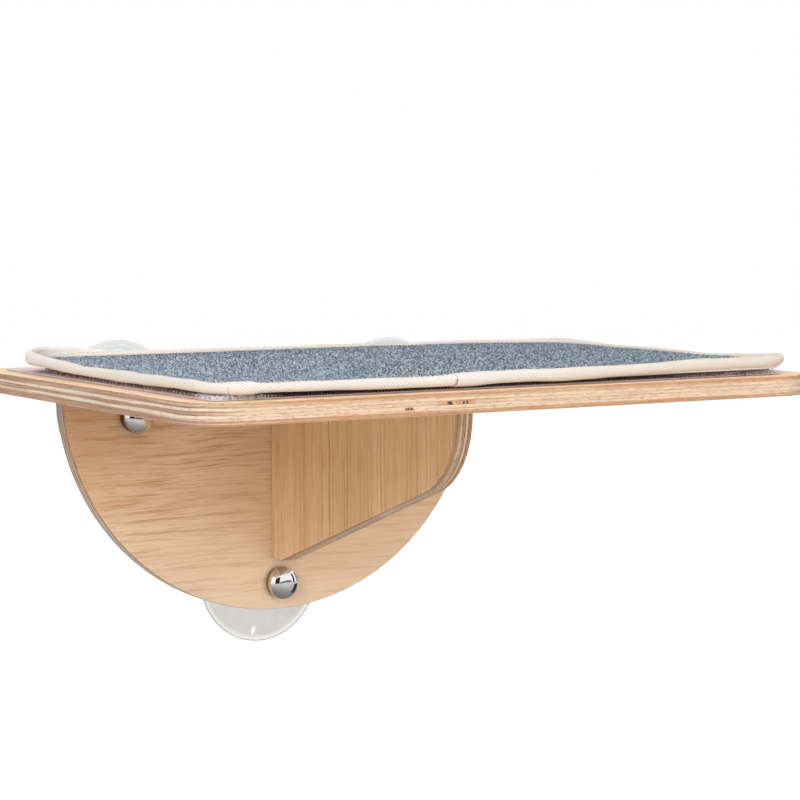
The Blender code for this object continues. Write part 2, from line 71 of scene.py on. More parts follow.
# %% [markdown]
# ## Measures
# Lengths in Blender are metres, and this perch is best thought of in millimetres, so MM turns one
# into the other. The main places are read from the frame rather than typed again.

# %% Measures that the frame gives
MM = 0.001
board_low, board_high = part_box("shelf_board")
binding_low, binding_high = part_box("mat_binding")
mat_centre = (binding_low + binding_high) / 2
print("shelf", [round(v / MM) for v in board_high - board_low], "mm")


def box_centre(node):
    """Middle of a part's box."""
    low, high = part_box(node)
    return (low + high) / 2


# %% [markdown]
# ## The view
# The camera stands where the photographer stood: low, to the left, and looking slightly down.
# Its numbers come from matching the perch's corners. The photograph's middle isn't on the lens
# axis, so the camera gets a small shift instead of a turn, which keeps upright edges upright.

# %% Camera
FOCAL_PIXELS = 2531.345
AXIS_PIXEL = (422.634, 472.280)
IMAGE_PIXELS = 800
SENSOR_WIDTH = 36
CAMERA_PLACE = (-0.76005, -1.44175, 0.11635)
YAW, PITCH, ROLL = math.radians(31.556), math.radians(6.310), math.radians(-0.056)

camera_data = bpy.data.cameras.new("photo_view")
camera_data.sensor_width = SENSOR_WIDTH
camera_data.lens = FOCAL_PIXELS / IMAGE_PIXELS * SENSOR_WIDTH
camera_data.shift_x = (IMAGE_PIXELS / 2 - AXIS_PIXEL[0]) / IMAGE_PIXELS
camera_data.shift_y = (AXIS_PIXEL[1] - IMAGE_PIXELS / 2) / IMAGE_PIXELS
camera = bpy.data.objects.new("photo_view", camera_data)
bpy.context.scene.collection.objects.link(camera)
camera.location = CAMERA_PLACE
forward = Vector((
    math.sin(YAW) * math.cos(PITCH), math.cos(YAW) * math.cos(PITCH), -math.sin(PITCH)
))
turn = forward.to_track_quat("-Z", "Y") @ Quaternion((0, 0, 1), ROLL)
camera.rotation_euler = turn.to_euler()
bpy.context.scene.camera = camera
print("lens", round(camera_data.lens, 1), "mm, shift", round(camera_data.shift_y, 4))

# %% [markdown]
# ## Node helpers
# Every finish here is a small tree of nodes, and a few helpers keep the trees readable. The first
# ones add a node and fill its inputs with numbers or links. A colour is given as it looks on a
# screen and turned into light, because that is what a shader reckons with.

# %% Node helpers
def socket_of(node, key):
    """An input by number, or the first usable input of that name."""
    if isinstance(key, int):
        return node.inputs[key]
    return next(s for s in node.inputs if s.name == key and s.enabled)


def screen(red, green, blue):
    """A colour as a screen shows it, 0 to 255, as the light value a shader takes."""
    parts = [c / 255 for c in (red, green, blue)]
    lit = [c / 12.92 if c <= 0.04045 else ((c + 0.055) / 1.055) ** 2.4 for c in parts]
    return (*lit, 1.0)


def fill(node, inputs):
    """Fill a node's inputs, each with a link from another node, a screen colour or a plain value."""
    for key, value in inputs.items():
        socket = socket_of(node, key)
        if isinstance(value, bpy.types.NodeSocket):
            node.id_data.links.new(value, socket)
        elif socket.type == "RGBA" and len(value) == 3:
            socket.default_value = screen(*value)
        else:
            socket.default_value = value
    return node


def add(tree, kind, inputs=None, **settings):
    """A new node with its settings made and its inputs filled or linked."""
    node = tree.nodes.new(kind)
    for name, value in settings.items():
        setattr(node, name, value)
    return fill(node, inputs or {})


def after(kind, inputs, **settings):
    """A new node in the tree that its linked inputs come from."""
    tree = next(v.id_data for v in inputs.values() if isinstance(v, bpy.types.NodeSocket))
    return add(tree, kind, inputs, **settings)


print("the middle grey of a screen is", round(screen(128, 128, 128)[0], 3), "as light")

# %% [markdown]
# The next ones wrap the handful of nodes that are used again and again. Most finishes start from
# one colour and lay other tones over it, each by a share from 0 to 1, because that can be read
# like a recipe: mostly this, here and there some of that.

# %% Numbers and colours
def maths(operation, *values):
    """One Math node, in a shader or a geometry tree."""
    return after("ShaderNodeMath", dict(enumerate(values)), operation=operation).outputs[0]


def times(first, second):
    """The product of two numbers."""
    return maths("MULTIPLY", first, second)


def remap(value, low, high, to_low=0.0, to_high=1.0):
    """Stretch a range of values onto another, and stop at its ends."""
    inputs = {"Value": value, "From Min": low, "From Max": high, "To Min": to_low, "To Max": to_high}
    return after("ShaderNodeMapRange", inputs).outputs[0]


def mixed(share, first, second, blend="MIX"):
    """Mix two colours."""
    inputs = {"Factor": share, "A": first, "B": second}
    return after("ShaderNodeMix", inputs, data_type="RGBA", blend_type=blend).outputs[2]


def tinted(colour, *layers):
    """Lay tones over a colour one after the other, each by its own share."""
    for share, tone in layers:
        colour = mixed(share, colour, tone)
    return colour


def joined(x=0.0, y=0.0, z=0.0):
    """Three numbers as one vector."""
    return after("ShaderNodeCombineXYZ", {0: x, 1: y, 2: z}).outputs[0]


# %% [markdown]
# A pattern has to be reckoned from a place. Object coordinates are lengths on the piece itself, so
# the pattern has its true scale and moves along with the piece. A wash is a tone whose share grows
# along an axis of the perch; the washes here are painted light and shade on a surface.

# %% Patterns and finishes
def noise(vector, scale, detail=2.0, roughness=0.5):
    """A noise texture's value."""
    inputs = {"Vector": vector, "Scale": scale, "Detail": detail, "Roughness": roughness}
    return after("ShaderNodeTexNoise", inputs).outputs[0]


def placed(tree):
    """Object coordinates, as one vector and as a number for each axis."""
    place = add(tree, "ShaderNodeTexCoord").outputs["Object"]
    split = after("ShaderNodeSeparateXYZ", {0: place})
    return place, {axis: split.outputs[axis] for axis in "XYZ"}


def away_from(place, centre, stretch):
    """Distance from a centre, with each axis stretched by its own factor."""
    for operation, value in (("SUBTRACT", centre), ("MULTIPLY", stretch)):
        place = after("ShaderNodeVectorMath", {0: place, 1: value}, operation=operation).outputs[0]
    return after("ShaderNodeVectorMath", {0: place}, operation="LENGTH").outputs["Value"]


def painted_light_washed(axes, colour, washes):
    """Lay washes of painted light and shade over a colour: full share, tone, and axes with start and end
    in mm.

    A share that an axis doesn't start from 0 stands after its end.
    """
    for share, tone, *ways in washes:
        for axis, start, end, *least in ways:
            share = times(share, remap(axes[axis], start * MM, end * MM, *least))
        colour = mixed(share, colour, tone)
    return colour


def new_finish(name, roughness, metallic=0.0):
    """A material, its tree and its main shader."""
    finish = bpy.data.materials.new(name)
    finish.use_nodes = True
    shader = finish.node_tree.nodes["Principled BSDF"]
    shader.inputs["Roughness"].default_value = roughness
    shader.inputs["Metallic"].default_value = metallic
    return finish, finish.node_tree, shader


def bumped(shader, height, distance, strength=1.0):
    """Let a height, 0 to 1, raise the surface by a distance in metres."""
    inputs = {"Height": height, "Distance": distance, "Strength": strength}
    fill(shader, {"Normal": after("ShaderNodeBump", inputs).outputs[0]})


# %% [markdown]
# ## Light and floor
# The perch was photographed on pure white. The world gives soft light from all round, a little
# more from above than from below. Large soft lamps stand in front, low enough to reach under the
# shelf, and one hangs above. The floor lies well below, because the perch hangs on a window.
# Camera, mirror and glass rays see the world and the floor as plain white, so the light on the
# perch can stay modest and its colours come out as they are written. The lamp in front on the
# right stays out of mirrors, or it would stand as a white square in the chrome.

# %% World
LIGHT_ABOVE, LIGHT_BELOW = 0.60, 0.34
SKY_LOW, SKY_HIGH = -0.3, 0.6
world = bpy.data.worlds.new("studio")
bpy.context.scene.world = world
world.use_nodes = True
world_tree = world.node_tree
world_tree.nodes.clear()


def seen_directly(tree):
    """1 for rays from the camera, a mirror or glass, 0 for the light that falls on things."""
    path = add(tree, "ShaderNodeLightPath")
    direct = maths("MAXIMUM", path.outputs["Is Camera Ray"], path.outputs["Is Glossy Ray"])
    return maths("MAXIMUM", direct, path.outputs["Is Transmission Ray"])


direction = add(world_tree, "ShaderNodeTexCoord").outputs["Generated"]
height = after("ShaderNodeSeparateXYZ", {0: direction}).outputs["Z"]
falling = remap(height, SKY_LOW, SKY_HIGH, LIGHT_BELOW, LIGHT_ABOVE)
level = add(world_tree, "ShaderNodeMix", {
    "Factor": seen_directly(world_tree), "A": falling, "B": 1.0,
}, data_type="FLOAT").outputs[0]
sky = add(world_tree, "ShaderNodeBackground", {"Color": (1, 1, 1, 1), "Strength": level})
add(world_tree, "ShaderNodeOutputWorld", {"Surface": sky.outputs[0]})
print("light from below and above:", LIGHT_BELOW, LIGHT_ABOVE)

# %% Lamps
LAMP_TARGET = Vector((0, -0.15, -0.05))


def soft_lamp(name, place, width, height, power):
    """A flat soft lamp that faces the perch."""
    data = bpy.data.lights.new(name, "AREA")
    data.shape = "RECTANGLE"
    data.size, data.size_y = width, height
    data.energy = power
    lamp = bpy.data.objects.new(name, data)
    bpy.context.scene.collection.objects.link(lamp)
    lamp.location = place
    aim = LAMP_TARGET - Vector(place)
    lamp.rotation_euler = aim.to_track_quat("-Z", "Y").to_euler()
    return lamp


front_right = soft_lamp("front_right_lamp", (0.75, -2.0, 0.15), width=0.8, height=0.9, power=8)
front_right.visible_glossy = False
soft_lamp("front_left_lamp", (-1.6, -1.30, 0.75), width=0.8, height=0.9, power=17)
soft_lamp("top_lamp", (0.2, -0.7, 1.7), width=1.3, height=1.0, power=10)

# %% Floor
FLOOR_DROP = 0.32
FLOOR_SIZE = 14.0
FLOOR_GREY, FLOOR_GLOW = 0.7, 0.62


def flat_panel(name, corners, finish):
    """A four-cornered panel of the studio, which isn't part of the perch."""
    mesh = bpy.data.meshes.new(name)
    mesh.from_pydata(corners, [], [(0, 1, 2, 3)])
    mesh.materials.append(finish)
    panel = bpy.data.objects.new(name, mesh)
    bpy.context.scene.collection.objects.link(panel)
    panel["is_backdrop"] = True
    return panel


def level_corners(half_width, near_y, far_y, height):
    """The corners of a level rectangle, in metres."""
    return [(-half_width, near_y, height), (half_width, near_y, height),
            (half_width, far_y, height), (-half_width, far_y, height)]


half = FLOOR_SIZE / 2
floor_z = cad_box[0].z - FLOOR_DROP
floor_finish, tree, shader = new_finish("white_floor", 0.9)
fill(shader, {
    "Base Color": (FLOOR_GREY, FLOOR_GREY, FLOOR_GREY, 1), "Emission Color": (1, 1, 1, 1),
    "Emission Strength": remap(seen_directly(tree), 0.0, 1.0, 0.0, FLOOR_GLOW),
})
flat_panel("floor", level_corners(half, -half, half, floor_z), floor_finish)
print("floor", round(-floor_z / MM), "mm below the shelf")

# %% [markdown]
# Polished chrome needs something dark to mirror, or it looks like white plastic. A photographer
# sets cards round the object for that. Black and grey cards stand in the room behind the camera,
# and a long grey sheet lies in front on the floor, darker close by and paler far away, which
# gives the lower half of each cap nut its grey gradient. All are only seen by mirror rays, so
# they neither show nor take any light away.

# %% Cards
HIDDEN_FROM = ("camera", "diffuse", "transmission", "shadow", "volume_scatter")
MOTTLE_SCALE = 0.8


def glow(shader, tone):
    """Let a card give off its own tone and take no light."""
    fill(shader, {"Base Color": (0, 0, 0, 1), "Emission Color": tone, "Emission Strength": 1.0})


def card_finish(name, first, second):
    """A matt card that glows with its own tone, mottled between two tones."""
    finish, tree, shader = new_finish(name, 0.9)
    place, _ = placed(tree)
    glow(shader, mixed(noise(place, MOTTLE_SCALE, 1.0), first, second))
    return finish


def only_in_mirrors(panel):
    """Hide a panel from all rays but a mirror's."""
    for kind in HIDDEN_FROM:
        setattr(panel, f"visible_{kind}", False)


def mirror_card(name, azimuth, width, low, high, finish, distance=3.0):
    """An upright card at an azimuth, 0 straight in front of the perch and 90 on its right."""
    turn = math.radians(azimuth)
    middle = Vector((math.sin(turn), -math.cos(turn), 0)) * distance
    along = Vector((math.cos(turn), math.sin(turn), 0)) * (width / 2)
    corners = [middle - along + Vector((0, 0, low)), middle + along + Vector((0, 0, low)),
               middle + along + Vector((0, 0, high)), middle - along + Vector((0, 0, high))]
    only_in_mirrors(flat_panel(name, corners, finish))


black_card = card_finish("black_card", (24, 25, 32), (44, 45, 54))
dark_card = card_finish("dark_card", (60, 60, 70), (110, 108, 114))
grey_card = card_finish("grey_card", (132, 130, 138), (164, 162, 166))
# azimuth in degrees, then width, lower and upper edge in metres
mirror_card("card_beside_camera", -14, 1.7, -0.47, 0.80, black_card)
mirror_card("card_middle", 20, 1.9, -0.47, -0.26, dark_card)
mirror_card("card_right", 51, 0.55, -0.47, 1.0, black_card)
mirror_card("card_far_right", 92, 2.6, -0.47, 1.2, grey_card)
mirror_card("card_low_right", 66, 0.3, -0.52, -0.22, black_card, 0.5)

# %% Sheet on the floor
GROUND_RISE = 2 * MM
GROUND_HALF_WIDTH, GROUND_NEAR, GROUND_FAR = 5, -7, 0.4
ground_card, tree, shader = new_finish("ground_card", 0.9)
place, _ = placed(tree)
far = away_from(place, (0, 0, 0), (1, 1, 0))
glow(shader, tinted((118, 114, 112), (remap(far, 0.2, 1.7), (196, 194, 193)),
                    (remap(far, 1.7, 6.0), (221, 219, 217))))
corners = level_corners(GROUND_HALF_WIDTH, GROUND_NEAR, GROUND_FAR, floor_z + GROUND_RISE)
only_in_mirrors(flat_panel("ground_card", corners, ground_card))
print("grey sheet", GROUND_FAR - GROUND_NEAR, "m deep")

# %% [markdown]
# ## Plywood
# The shelf, the plate and the bracket are 12 mm plywood. A face shows one sheet of veneer with
# grain in one direction. An edge shows every ply of the stack: plies whose grain runs along the
# edge look pale and streaky, plies cut across their grain look browner, and a thin dark glue
# line lies between them. One function can make all three boards, because only the axes and the
# colours differ: "stack" is the axis through the thickness, "grain" the one the veneer's fibres
# follow and "cross" the remaining one. Everything is reckoned from Object coordinates, so the
# pattern is cut through the board and turns the corner correctly.

# %% Veneer
def veneer_colour(along, across, depth, colours, wave, ring_gap, dash):
    """Oak-like veneer: growth rings as dark streaks, dashes of pores and a slow change of tone."""

    def drawn_out(sideways, along_scale, across_scale, *settings):
        """Noise that is drawn out along the fibres."""
        parts = times(along, along_scale), times(sideways, across_scale), depth
        return noise(joined(*parts), 1.0, *settings)

    pale, mid, dark = colours
    bent = maths("MULTIPLY_ADD", drawn_out(across, 9.0, 22.0, 1.0), wave, across)
    bent = maths("MULTIPLY_ADD", drawn_out(across, 45.0, 110.0, 1.0), wave * 0.25, bent)
    rings = drawn_out(bent, dash, 1.0 / ring_gap, 2.0, 0.55)
    tone = drawn_out(bent, 3.0, 45.0, 1.0)
    pores = drawn_out(bent, 55.0, 1050.0, 2.0, 0.6)
    fibres = drawn_out(bent, 14.0, 620.0, 2.0, 0.6)
    streak = times(remap(rings, 0.54, 0.64), remap(pores, 0.25, 0.6, 0.4, 1.0))
    colour = tinted(
        pale, (remap(tone, 0.35, 0.65), mid), (times(streak, 0.75), dark),
        (remap(fibres, 0.46, 0.30, 0.0, 0.45), pale),
        (remap(fibres, 0.46, 0.70, 0.0, 0.36), dark),
        (remap(pores, 0.53, 0.70, 0.0, 0.6), dark),
    )
    return colour, maths("SUBTRACT", 1.0, remap(pores, 0.5, 0.72))


# %% Cut edge of plywood
# share of the thickness where a ply begins, and its paleness
CUT_PLIES = ((0.0, 0.0), (0.30, 1.0), (0.445, 0.05), (0.60, 0.95), (0.75, 0.0))
LONG_PLIES = ((0.0, 0.0), (0.20, 1.0), (0.29, 0.7), (0.35, 1.0), (0.42, 0.7), (0.50, 0.95),
              (0.60, 0.7), (0.65, 1.0), (0.705, 0.75), (0.76, 0.45), (0.85, 0.0))
GLUE_LINES = (0.19, 0.445, 0.60, 0.775)
GLUE_REACH, GLUE_CORE = 0.035, 0.006
PLY_RIPPLE = 0.035
ROUGH_BROWN = (96, 58, 42)
WORN_FROM, WORN_FULL = -135 * MM, -70 * MM
print(len(CUT_PLIES), "steps on a cut end,", len(LONG_PLIES), "on a long edge")


def ply_ramp(share, plies):
    """Step through the paleness of each ply of the stack."""
    stepped = after("ShaderNodeValToRGB", {"Fac": share})
    steps = stepped.color_ramp
    steps.interpolation = "CONSTANT"
    while len(steps.elements) < len(plies):
        steps.elements.new(0.5)
    for element, (start, paleness) in zip(steps.elements, plies):
        element.position = start
        element.color = (paleness, paleness, paleness, 1)
    return stepped.outputs[0]


def layered(axes, stack, stack_scale, other_scale, *settings):
    """Noise that is drawn out along the plies."""
    parts = [times(axes[a], stack_scale if a == stack else other_scale) for a in "XYZ"]
    return noise(joined(*parts), 1.0, *settings)


def glue_lines(share):
    """1 on the dark lines between the plies, 0 away from them."""
    line = 0.0
    for end in GLUE_LINES:
        away = maths("ABSOLUTE", maths("SUBTRACT", share, end))
        line = maths("MAXIMUM", line, remap(away, GLUE_REACH, GLUE_CORE))
    return line


def edge_colour(axes, facing, stack, low, thick, colours):
    """The ends of the plies: each ply in turn, streaks, glue lines and rough dark spots."""
    cut_dark, cut_pale, long_dark, long_pale, glue = colours
    grain = [a for a in "XYZ" if a != stack][0]
    share = remap(axes[stack], low, low + thick)
    ripple = maths("SUBTRACT", layered(axes, stack, 30.0, 30.0), 0.5)
    share = maths("MULTIPLY_ADD", ripple, PLY_RIPPLE, share)
    paleness = ply_ramp(share, CUT_PLIES)
    cut = mixed(paleness, cut_dark, cut_pale)
    long = mixed(ply_ramp(share, LONG_PLIES), long_dark, long_pale)
    across_grain = maths("ABSOLUTE", facing[grain])
    pale = mixed(across_grain, long_pale, cut_pale)
    dark = mixed(across_grain, long_dark, cut_dark)
    wide = layered(axes, stack, 620.0, 9.0)
    thin = layered(axes, stack, 1150.0, 13.0, 3.0, 0.65)
    fine = layered(axes, stack, 1500.0, 260.0, 2.0, 0.6)
    broken = layered(axes, stack, 200.0, 38.0)
    line = times(glue_lines(share), remap(broken, 0.42, 0.60, 0.1, 0.85))
    line = times(line, remap(across_grain, 0.0, 0.6, 0.35, 1.0))
    rough = layered(axes, stack, 520.0, 60.0, 3.0, 0.7)
    worn_end = remap(axes["Y"], WORN_FROM, WORN_FULL, 0.0, 0.07)
    rough = remap(maths("ADD", rough, worn_end), 0.62, 0.70)
    rough = times(rough, maths("SUBTRACT", 1.0, paleness))
    rough = times(rough, remap(across_grain, 0.0, 0.6, 0.25, 0.8))
    return tinted(
        mixed(across_grain, long, cut),
        (remap(wide, 0.54, 0.70, 0.0, 0.5), dark),
        (remap(wide, 0.46, 0.32, 0.0, 0.5), pale),
        (remap(thin, 0.54, 0.72, 0.0, 0.55), glue),
        (remap(thin, 0.45, 0.30, 0.0, 0.5), pale),
        (remap(fine, 0.50, 0.75, 0.0, 0.5), glue),
        (line, glue), (rough, ROUGH_BROWN),
    )


# %% [markdown]
# Plywood can have open joints, where a strip of an inner ply ends too soon and leaves a gap in
# the edge, crossed by splinters. The gaps aren't cut into the mesh, so their dark is painted shade.
# The whole board takes the face's colour where its surface looks along the stack, and the edge's
# colour elsewhere, so one material does for all its sides.

# %% Whole board
def within(value, low, high):
    """1 between two places in millimetres, 0 outside."""
    above = maths("GREATER_THAN", value, low * MM)
    return times(above, maths("LESS_THAN", value, high * MM))


def open_joints(axes, colour, marks):
    """Stained places, and gaps where a strip of an inner ply is missing, crossed by splinters, with
    painted shade in the gaps.
    """
    across = joined(times(axes["X"], 1500.0), 0.0, times(axes["Z"], 260.0))
    splinters = noise(across, 1.0, 1.0)
    for x_low, x_high, z_low, z_high, share, tone in marks:
        inside = times(within(axes["X"], x_low, x_high), within(axes["Z"], z_low, z_high))
        inside = times(inside, remap(splinters, 0.66, 0.56, share * 0.3, share))
        colour = mixed(inside, colour, tone)
    return colour


def plywood(node, name, stack, grain, cross, faces, edges, wave, ring_gap, dash, marks=(), washes=()):
    """A finish for one plywood board, from its box, its axes and its colours."""
    low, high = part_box(node)
    index = "XYZ".index(stack)
    finish, tree, shader = new_finish(name, 0.5)
    place, axes = placed(tree)
    normal = add(tree, "ShaderNodeNewGeometry").outputs["True Normal"]
    tilt = after("ShaderNodeSeparateXYZ", {0: normal})
    facing = {a: tilt.outputs[a] for a in "XYZ"}
    face, height = veneer_colour(axes[grain], axes[cross], axes[stack], faces, wave, ring_gap, dash)
    face = painted_light_washed(axes, face, washes)
    edge = edge_colour(axes, facing, stack, low[index], high[index] - low[index], edges)
    edge = open_joints(axes, edge, marks)
    on_face = remap(maths("ABSOLUTE", facing[stack]), 0.55, 0.75)
    polish = layered(axes, stack, 60.0, 25.0)
    fill(shader, {"Base Color": mixed(on_face, edge, face), "Specular IOR Level": 0.3,
                  "Roughness": remap(polish, 0.35, 0.65, 0.42, 0.58)})
    bumped(shader, height, 0.05 * MM, 0.3)
    return finish


# %% [markdown]
# The three boards differ in tone. The shelf's veneer is a creamy birch. Its left edge shows
# brown and cream plies in turn, while its front edge is pale between two browner outer plies,
# with a few open joints where a strip of an inner ply is missing. The plate and the bracket are
# faced with oak-like veneer. The plate's grain lies level and wanders a little, and its veneer
# carries painted shade at the top left, under the shelf, and painted light towards the bottom and
# at the right. The bracket's grain runs upright and straight, which is how the photograph tells
# them apart.

# %% Shelf, plate and bracket
birch = ((250, 226, 196), (246, 216, 182), (222, 182, 140))
birch_edge = ((182, 138, 110), (238, 222, 200), (208, 158, 118), (241, 214, 183), (156, 102, 72))
oak = ((240, 208, 172), (230, 196, 156), (192, 132, 82))
oak_upright = ((246, 210, 166), (234, 192, 142), (206, 152, 98))
plate_edge = ((178, 142, 116), (216, 194, 168), (180, 144, 114), (206, 178, 150), (112, 78, 58))
bracket_edge = ((184, 140, 104), (236, 210, 180), (196, 150, 112), (222, 180, 140), (88, 56, 38))
# the stain is a real stain; the two gap tones are painted shade inside the open joints, which the mesh
# doesn't cut
painted_gap_shade, painted_gap_shade_red, stain = (52, 28, 24), (112, 40, 26), (206, 132, 82)
SHELF_MARKS = (
    # from x to x and from z to z in mm, share, tone
    (-61.0, -37.0, 5.1, 7.2, 0.55, stain), (-54.5, -51.5, 5.2, 7.0, 0.95, painted_gap_shade),
    (-49.3, -48.7, 5.4, 6.9, 0.7, painted_gap_shade_red), (-47.4, -47.0, 5.4, 6.9, 0.7, painted_gap_shade_red),
    (-45.0, -43.8, 5.3, 6.9, 0.9, painted_gap_shade), (-43.2, -41.6, 5.3, 7.0, 0.95, painted_gap_shade),
    (-80.5, -75.3, 3.4, 4.9, 0.8, painted_gap_shade_red), (-79.0, -78.2, 3.6, 4.7, 0.8, painted_gap_shade),
    (-77.2, -76.2, 3.6, 4.7, 0.8, painted_gap_shade),
)
PLATE_PAINTED_LIGHT = (
    # painted shade at the top left under the shelf, painted light towards the bottom and at the right
    (0.6, (190, 136, 90), ("Z", -90, -40), ("X", -70, -130)),
    (0.45, (236, 222, 204), ("Z", -60, -150)),
    (0.38, (255, 220, 178), ("X", -75, -10), ("Z", -30, -90, 0.2)),
)

boards = {
    "shelf_board": plywood("shelf_board", "birch_plywood", "Z", "X", "Y", birch, birch_edge,
                           wave=10 * MM, ring_gap=5 * MM, dash=7.0, marks=SHELF_MARKS),
    "back_plate": plywood("back_plate", "level_oak_plywood", "Y", "X", "Z", oak, plate_edge,
                          wave=4.5 * MM, ring_gap=2.9 * MM, dash=15.0, washes=PLATE_PAINTED_LIGHT),
    "bracket": plywood("bracket", "upright_oak_plywood", "X", "Z", "Y", oak_upright, bracket_edge,
                       wave=1 * MM, ring_gap=2.4 * MM, dash=4.0),
}
for node, finish in boards.items():
    nodes[node].data.materials[0] = finish
print("plywood on", sorted(boards))

# %% [markdown]
# ## Geometry Nodes helpers
# A Geometry Nodes tree is a recipe that Blender follows on a mesh. Each tree here has a mesh
# going in, named sizes beside it and a finished mesh coming out. When a recipe has run, its
# result is kept as a plain mesh and the recipe is taken off, so nothing is left to recompute.

# %% Geometry Nodes helpers
SOCKET_KINDS = {int: "NodeSocketInt", float: "NodeSocketFloat", bpy.types.Material: "NodeSocketMaterial"}


def recipe(name, sizes):
    """A geometry tree with a mesh in, a mesh out and one named input for each size."""
    tree = bpy.data.node_groups.new(name, "GeometryNodeTree")
    for side in ("INPUT", "OUTPUT"):
        tree.interface.new_socket("Geometry", in_out=side, socket_type="NodeSocketGeometry")
    for label, value in sizes.items():
        kind = SOCKET_KINDS[type(value)]
        tree.interface.new_socket(label, in_out="INPUT", socket_type=kind).default_value = value
    return tree, add(tree, "NodeGroupInput"), add(tree, "NodeGroupOutput")


def finish_recipe(out, geometry, material):
    """End a tree the way the export needs: real geometry, smooth, with its material."""
    real = after("GeometryNodeRealizeInstances", {"Geometry": geometry})
    smooth = after("GeometryNodeSetShadeSmooth", {"Geometry": real.outputs[0]})
    painted = after("GeometryNodeSetMaterial", {"Geometry": smooth.outputs[0], "Material": material})
    fill(out, {"Geometry": painted.outputs[0]})


def show(name, mesh):
    """Put a mesh into the scene as a piece at the origin."""
    piece = bpy.data.objects.new(name, mesh)
    bpy.context.scene.collection.objects.link(piece)
    return piece


def cook(name, start_mesh, tree, **sizes):
    """Run a recipe on a mesh and keep the result as a plain mesh."""
    source = show("start_of_" + name, start_mesh)
    modifier = source.modifiers.new(tree.name, "NODES")
    modifier.node_group = tree
    wanted = {label.replace("_", " "): value for label, value in sizes.items()}
    for item in tree.interface.items_tree:
        if item.in_out == "INPUT" and item.name in wanted:
            modifier[item.identifier] = wanted.pop(item.name)
    assert not wanted, f"the recipe has no input for {sorted(wanted)}"
    graph = bpy.context.evaluated_depsgraph_get()
    mesh = bpy.data.meshes.new_from_object(source.evaluated_get(graph))
    mesh.name = name
    bpy.data.objects.remove(source)
    piece = show(name, mesh)
    print(name, "has", len(mesh.polygons), "faces")
    return piece


MERGE_WITHIN = 0.001 * MM


def outward(piece, sharp_degrees=None):
    """Merge doubles, turn all faces outwards and keep only real corners sharp."""
    bm = bmesh.new()
    bm.from_mesh(piece.data)
    bmesh.ops.remove_doubles(bm, verts=bm.verts, dist=MERGE_WITHIN)
    bmesh.ops.recalc_face_normals(bm, faces=bm.faces)
    bm.to_mesh(piece.data)
    bm.free()
    if sharp_degrees is not None:
        piece.data.shade_smooth()
        piece.data.set_sharp_from_angle(angle=math.radians(sharp_degrees))
    return piece


# %% [markdown]
# ## Turned pieces
# A suction cup and a cap nut are both turned shapes: a profile swept once round an axis. The
# recipe below lays out a flat grid, one row for each profile point and one column for each step
# round, and moves every grid point to its radius, angle and height. The grid's last column meets
# its first, and merging closes the seam. The axis points out of the pane, towards the room.

# %% Lathe recipe
steel_stand_in, _, _ = new_finish("unset", 0.5)
lathe, sizes_in, lathe_out = recipe("lathe", {
    "Steps": 96, "Rows": 8, "Middle X": 0.0, "Middle Y": 0.0, "Middle Z": 0.0,
    "Finish": steel_stand_in,
})
SAME_POINT = 0.002 * MM
row_gaps = maths("SUBTRACT", sizes_in.outputs["Rows"], 1.0)
columns = maths("ADD", sizes_in.outputs["Steps"], 1.0)
grid = add(lathe, "GeometryNodeMeshGrid", {
    "Size X": 1.0, "Size Y": row_gaps,
    "Vertices X": columns, "Vertices Y": sizes_in.outputs["Rows"],
})
spot = add(lathe, "ShaderNodeSeparateXYZ", {0: add(lathe, "GeometryNodeInputPosition").outputs[0]})
angle = times(maths("ADD", spot.outputs["X"], 0.5), math.tau)
row = maths("MULTIPLY_ADD", row_gaps, 0.5, spot.outputs["Y"])
row = add(lathe, "FunctionNodeFloatToInt", {0: row}, rounding_mode="ROUND").outputs[0]
profile_place = add(lathe, "GeometryNodeInputPosition").outputs[0]
sample = add(lathe, "GeometryNodeSampleIndex", {
    "Geometry": sizes_in.outputs["Geometry"], "Value": profile_place, "Index": row,
}, data_type="FLOAT_VECTOR", domain="POINT")
point = add(lathe, "ShaderNodeSeparateXYZ", {0: sample.outputs[0]})
side = times(point.outputs["X"], maths("COSINE", angle))
rise = times(point.outputs["X"], maths("SINE", angle))
turned = joined(
    maths("ADD", sizes_in.outputs["Middle X"], side),
    maths("SUBTRACT", sizes_in.outputs["Middle Y"], point.outputs["Y"]),
    maths("ADD", sizes_in.outputs["Middle Z"], rise),
)
moved = add(lathe, "GeometryNodeSetPosition", {"Geometry": grid.outputs[0], "Position": turned})
merged = add(lathe, "GeometryNodeMergeByDistance", {"Geometry": moved.outputs[0], "Distance": SAME_POINT})
finish_recipe(lathe_out, merged.outputs[0], sizes_in.outputs["Finish"])


def turned_piece(name, profile, middle, finish, steps=96, sharp_degrees=32):
    """A piece turned from (radius, height) points in millimetres."""
    start = bpy.data.meshes.new(name)
    points = [(r * MM, h * MM, 0) for r, h in profile]
    start.from_pydata(points, [(i, i + 1) for i in range(len(points) - 1)], [])
    piece = cook(name, start, lathe, Steps=steps, Rows=len(points), Middle_X=middle[0],
                 Middle_Y=middle[1], Middle_Z=middle[2], Finish=finish)
    return outward(piece, sharp_degrees)


def arc_points(centre, radius, start, end, steps):
    """Points on an arc, angles in degrees."""
    turns = [math.radians(start + (end - start) * i / steps) for i in range(steps + 1)]
    return [(centre[0] + radius * math.cos(t), centre[1] + radius * math.sin(t)) for t in turns]
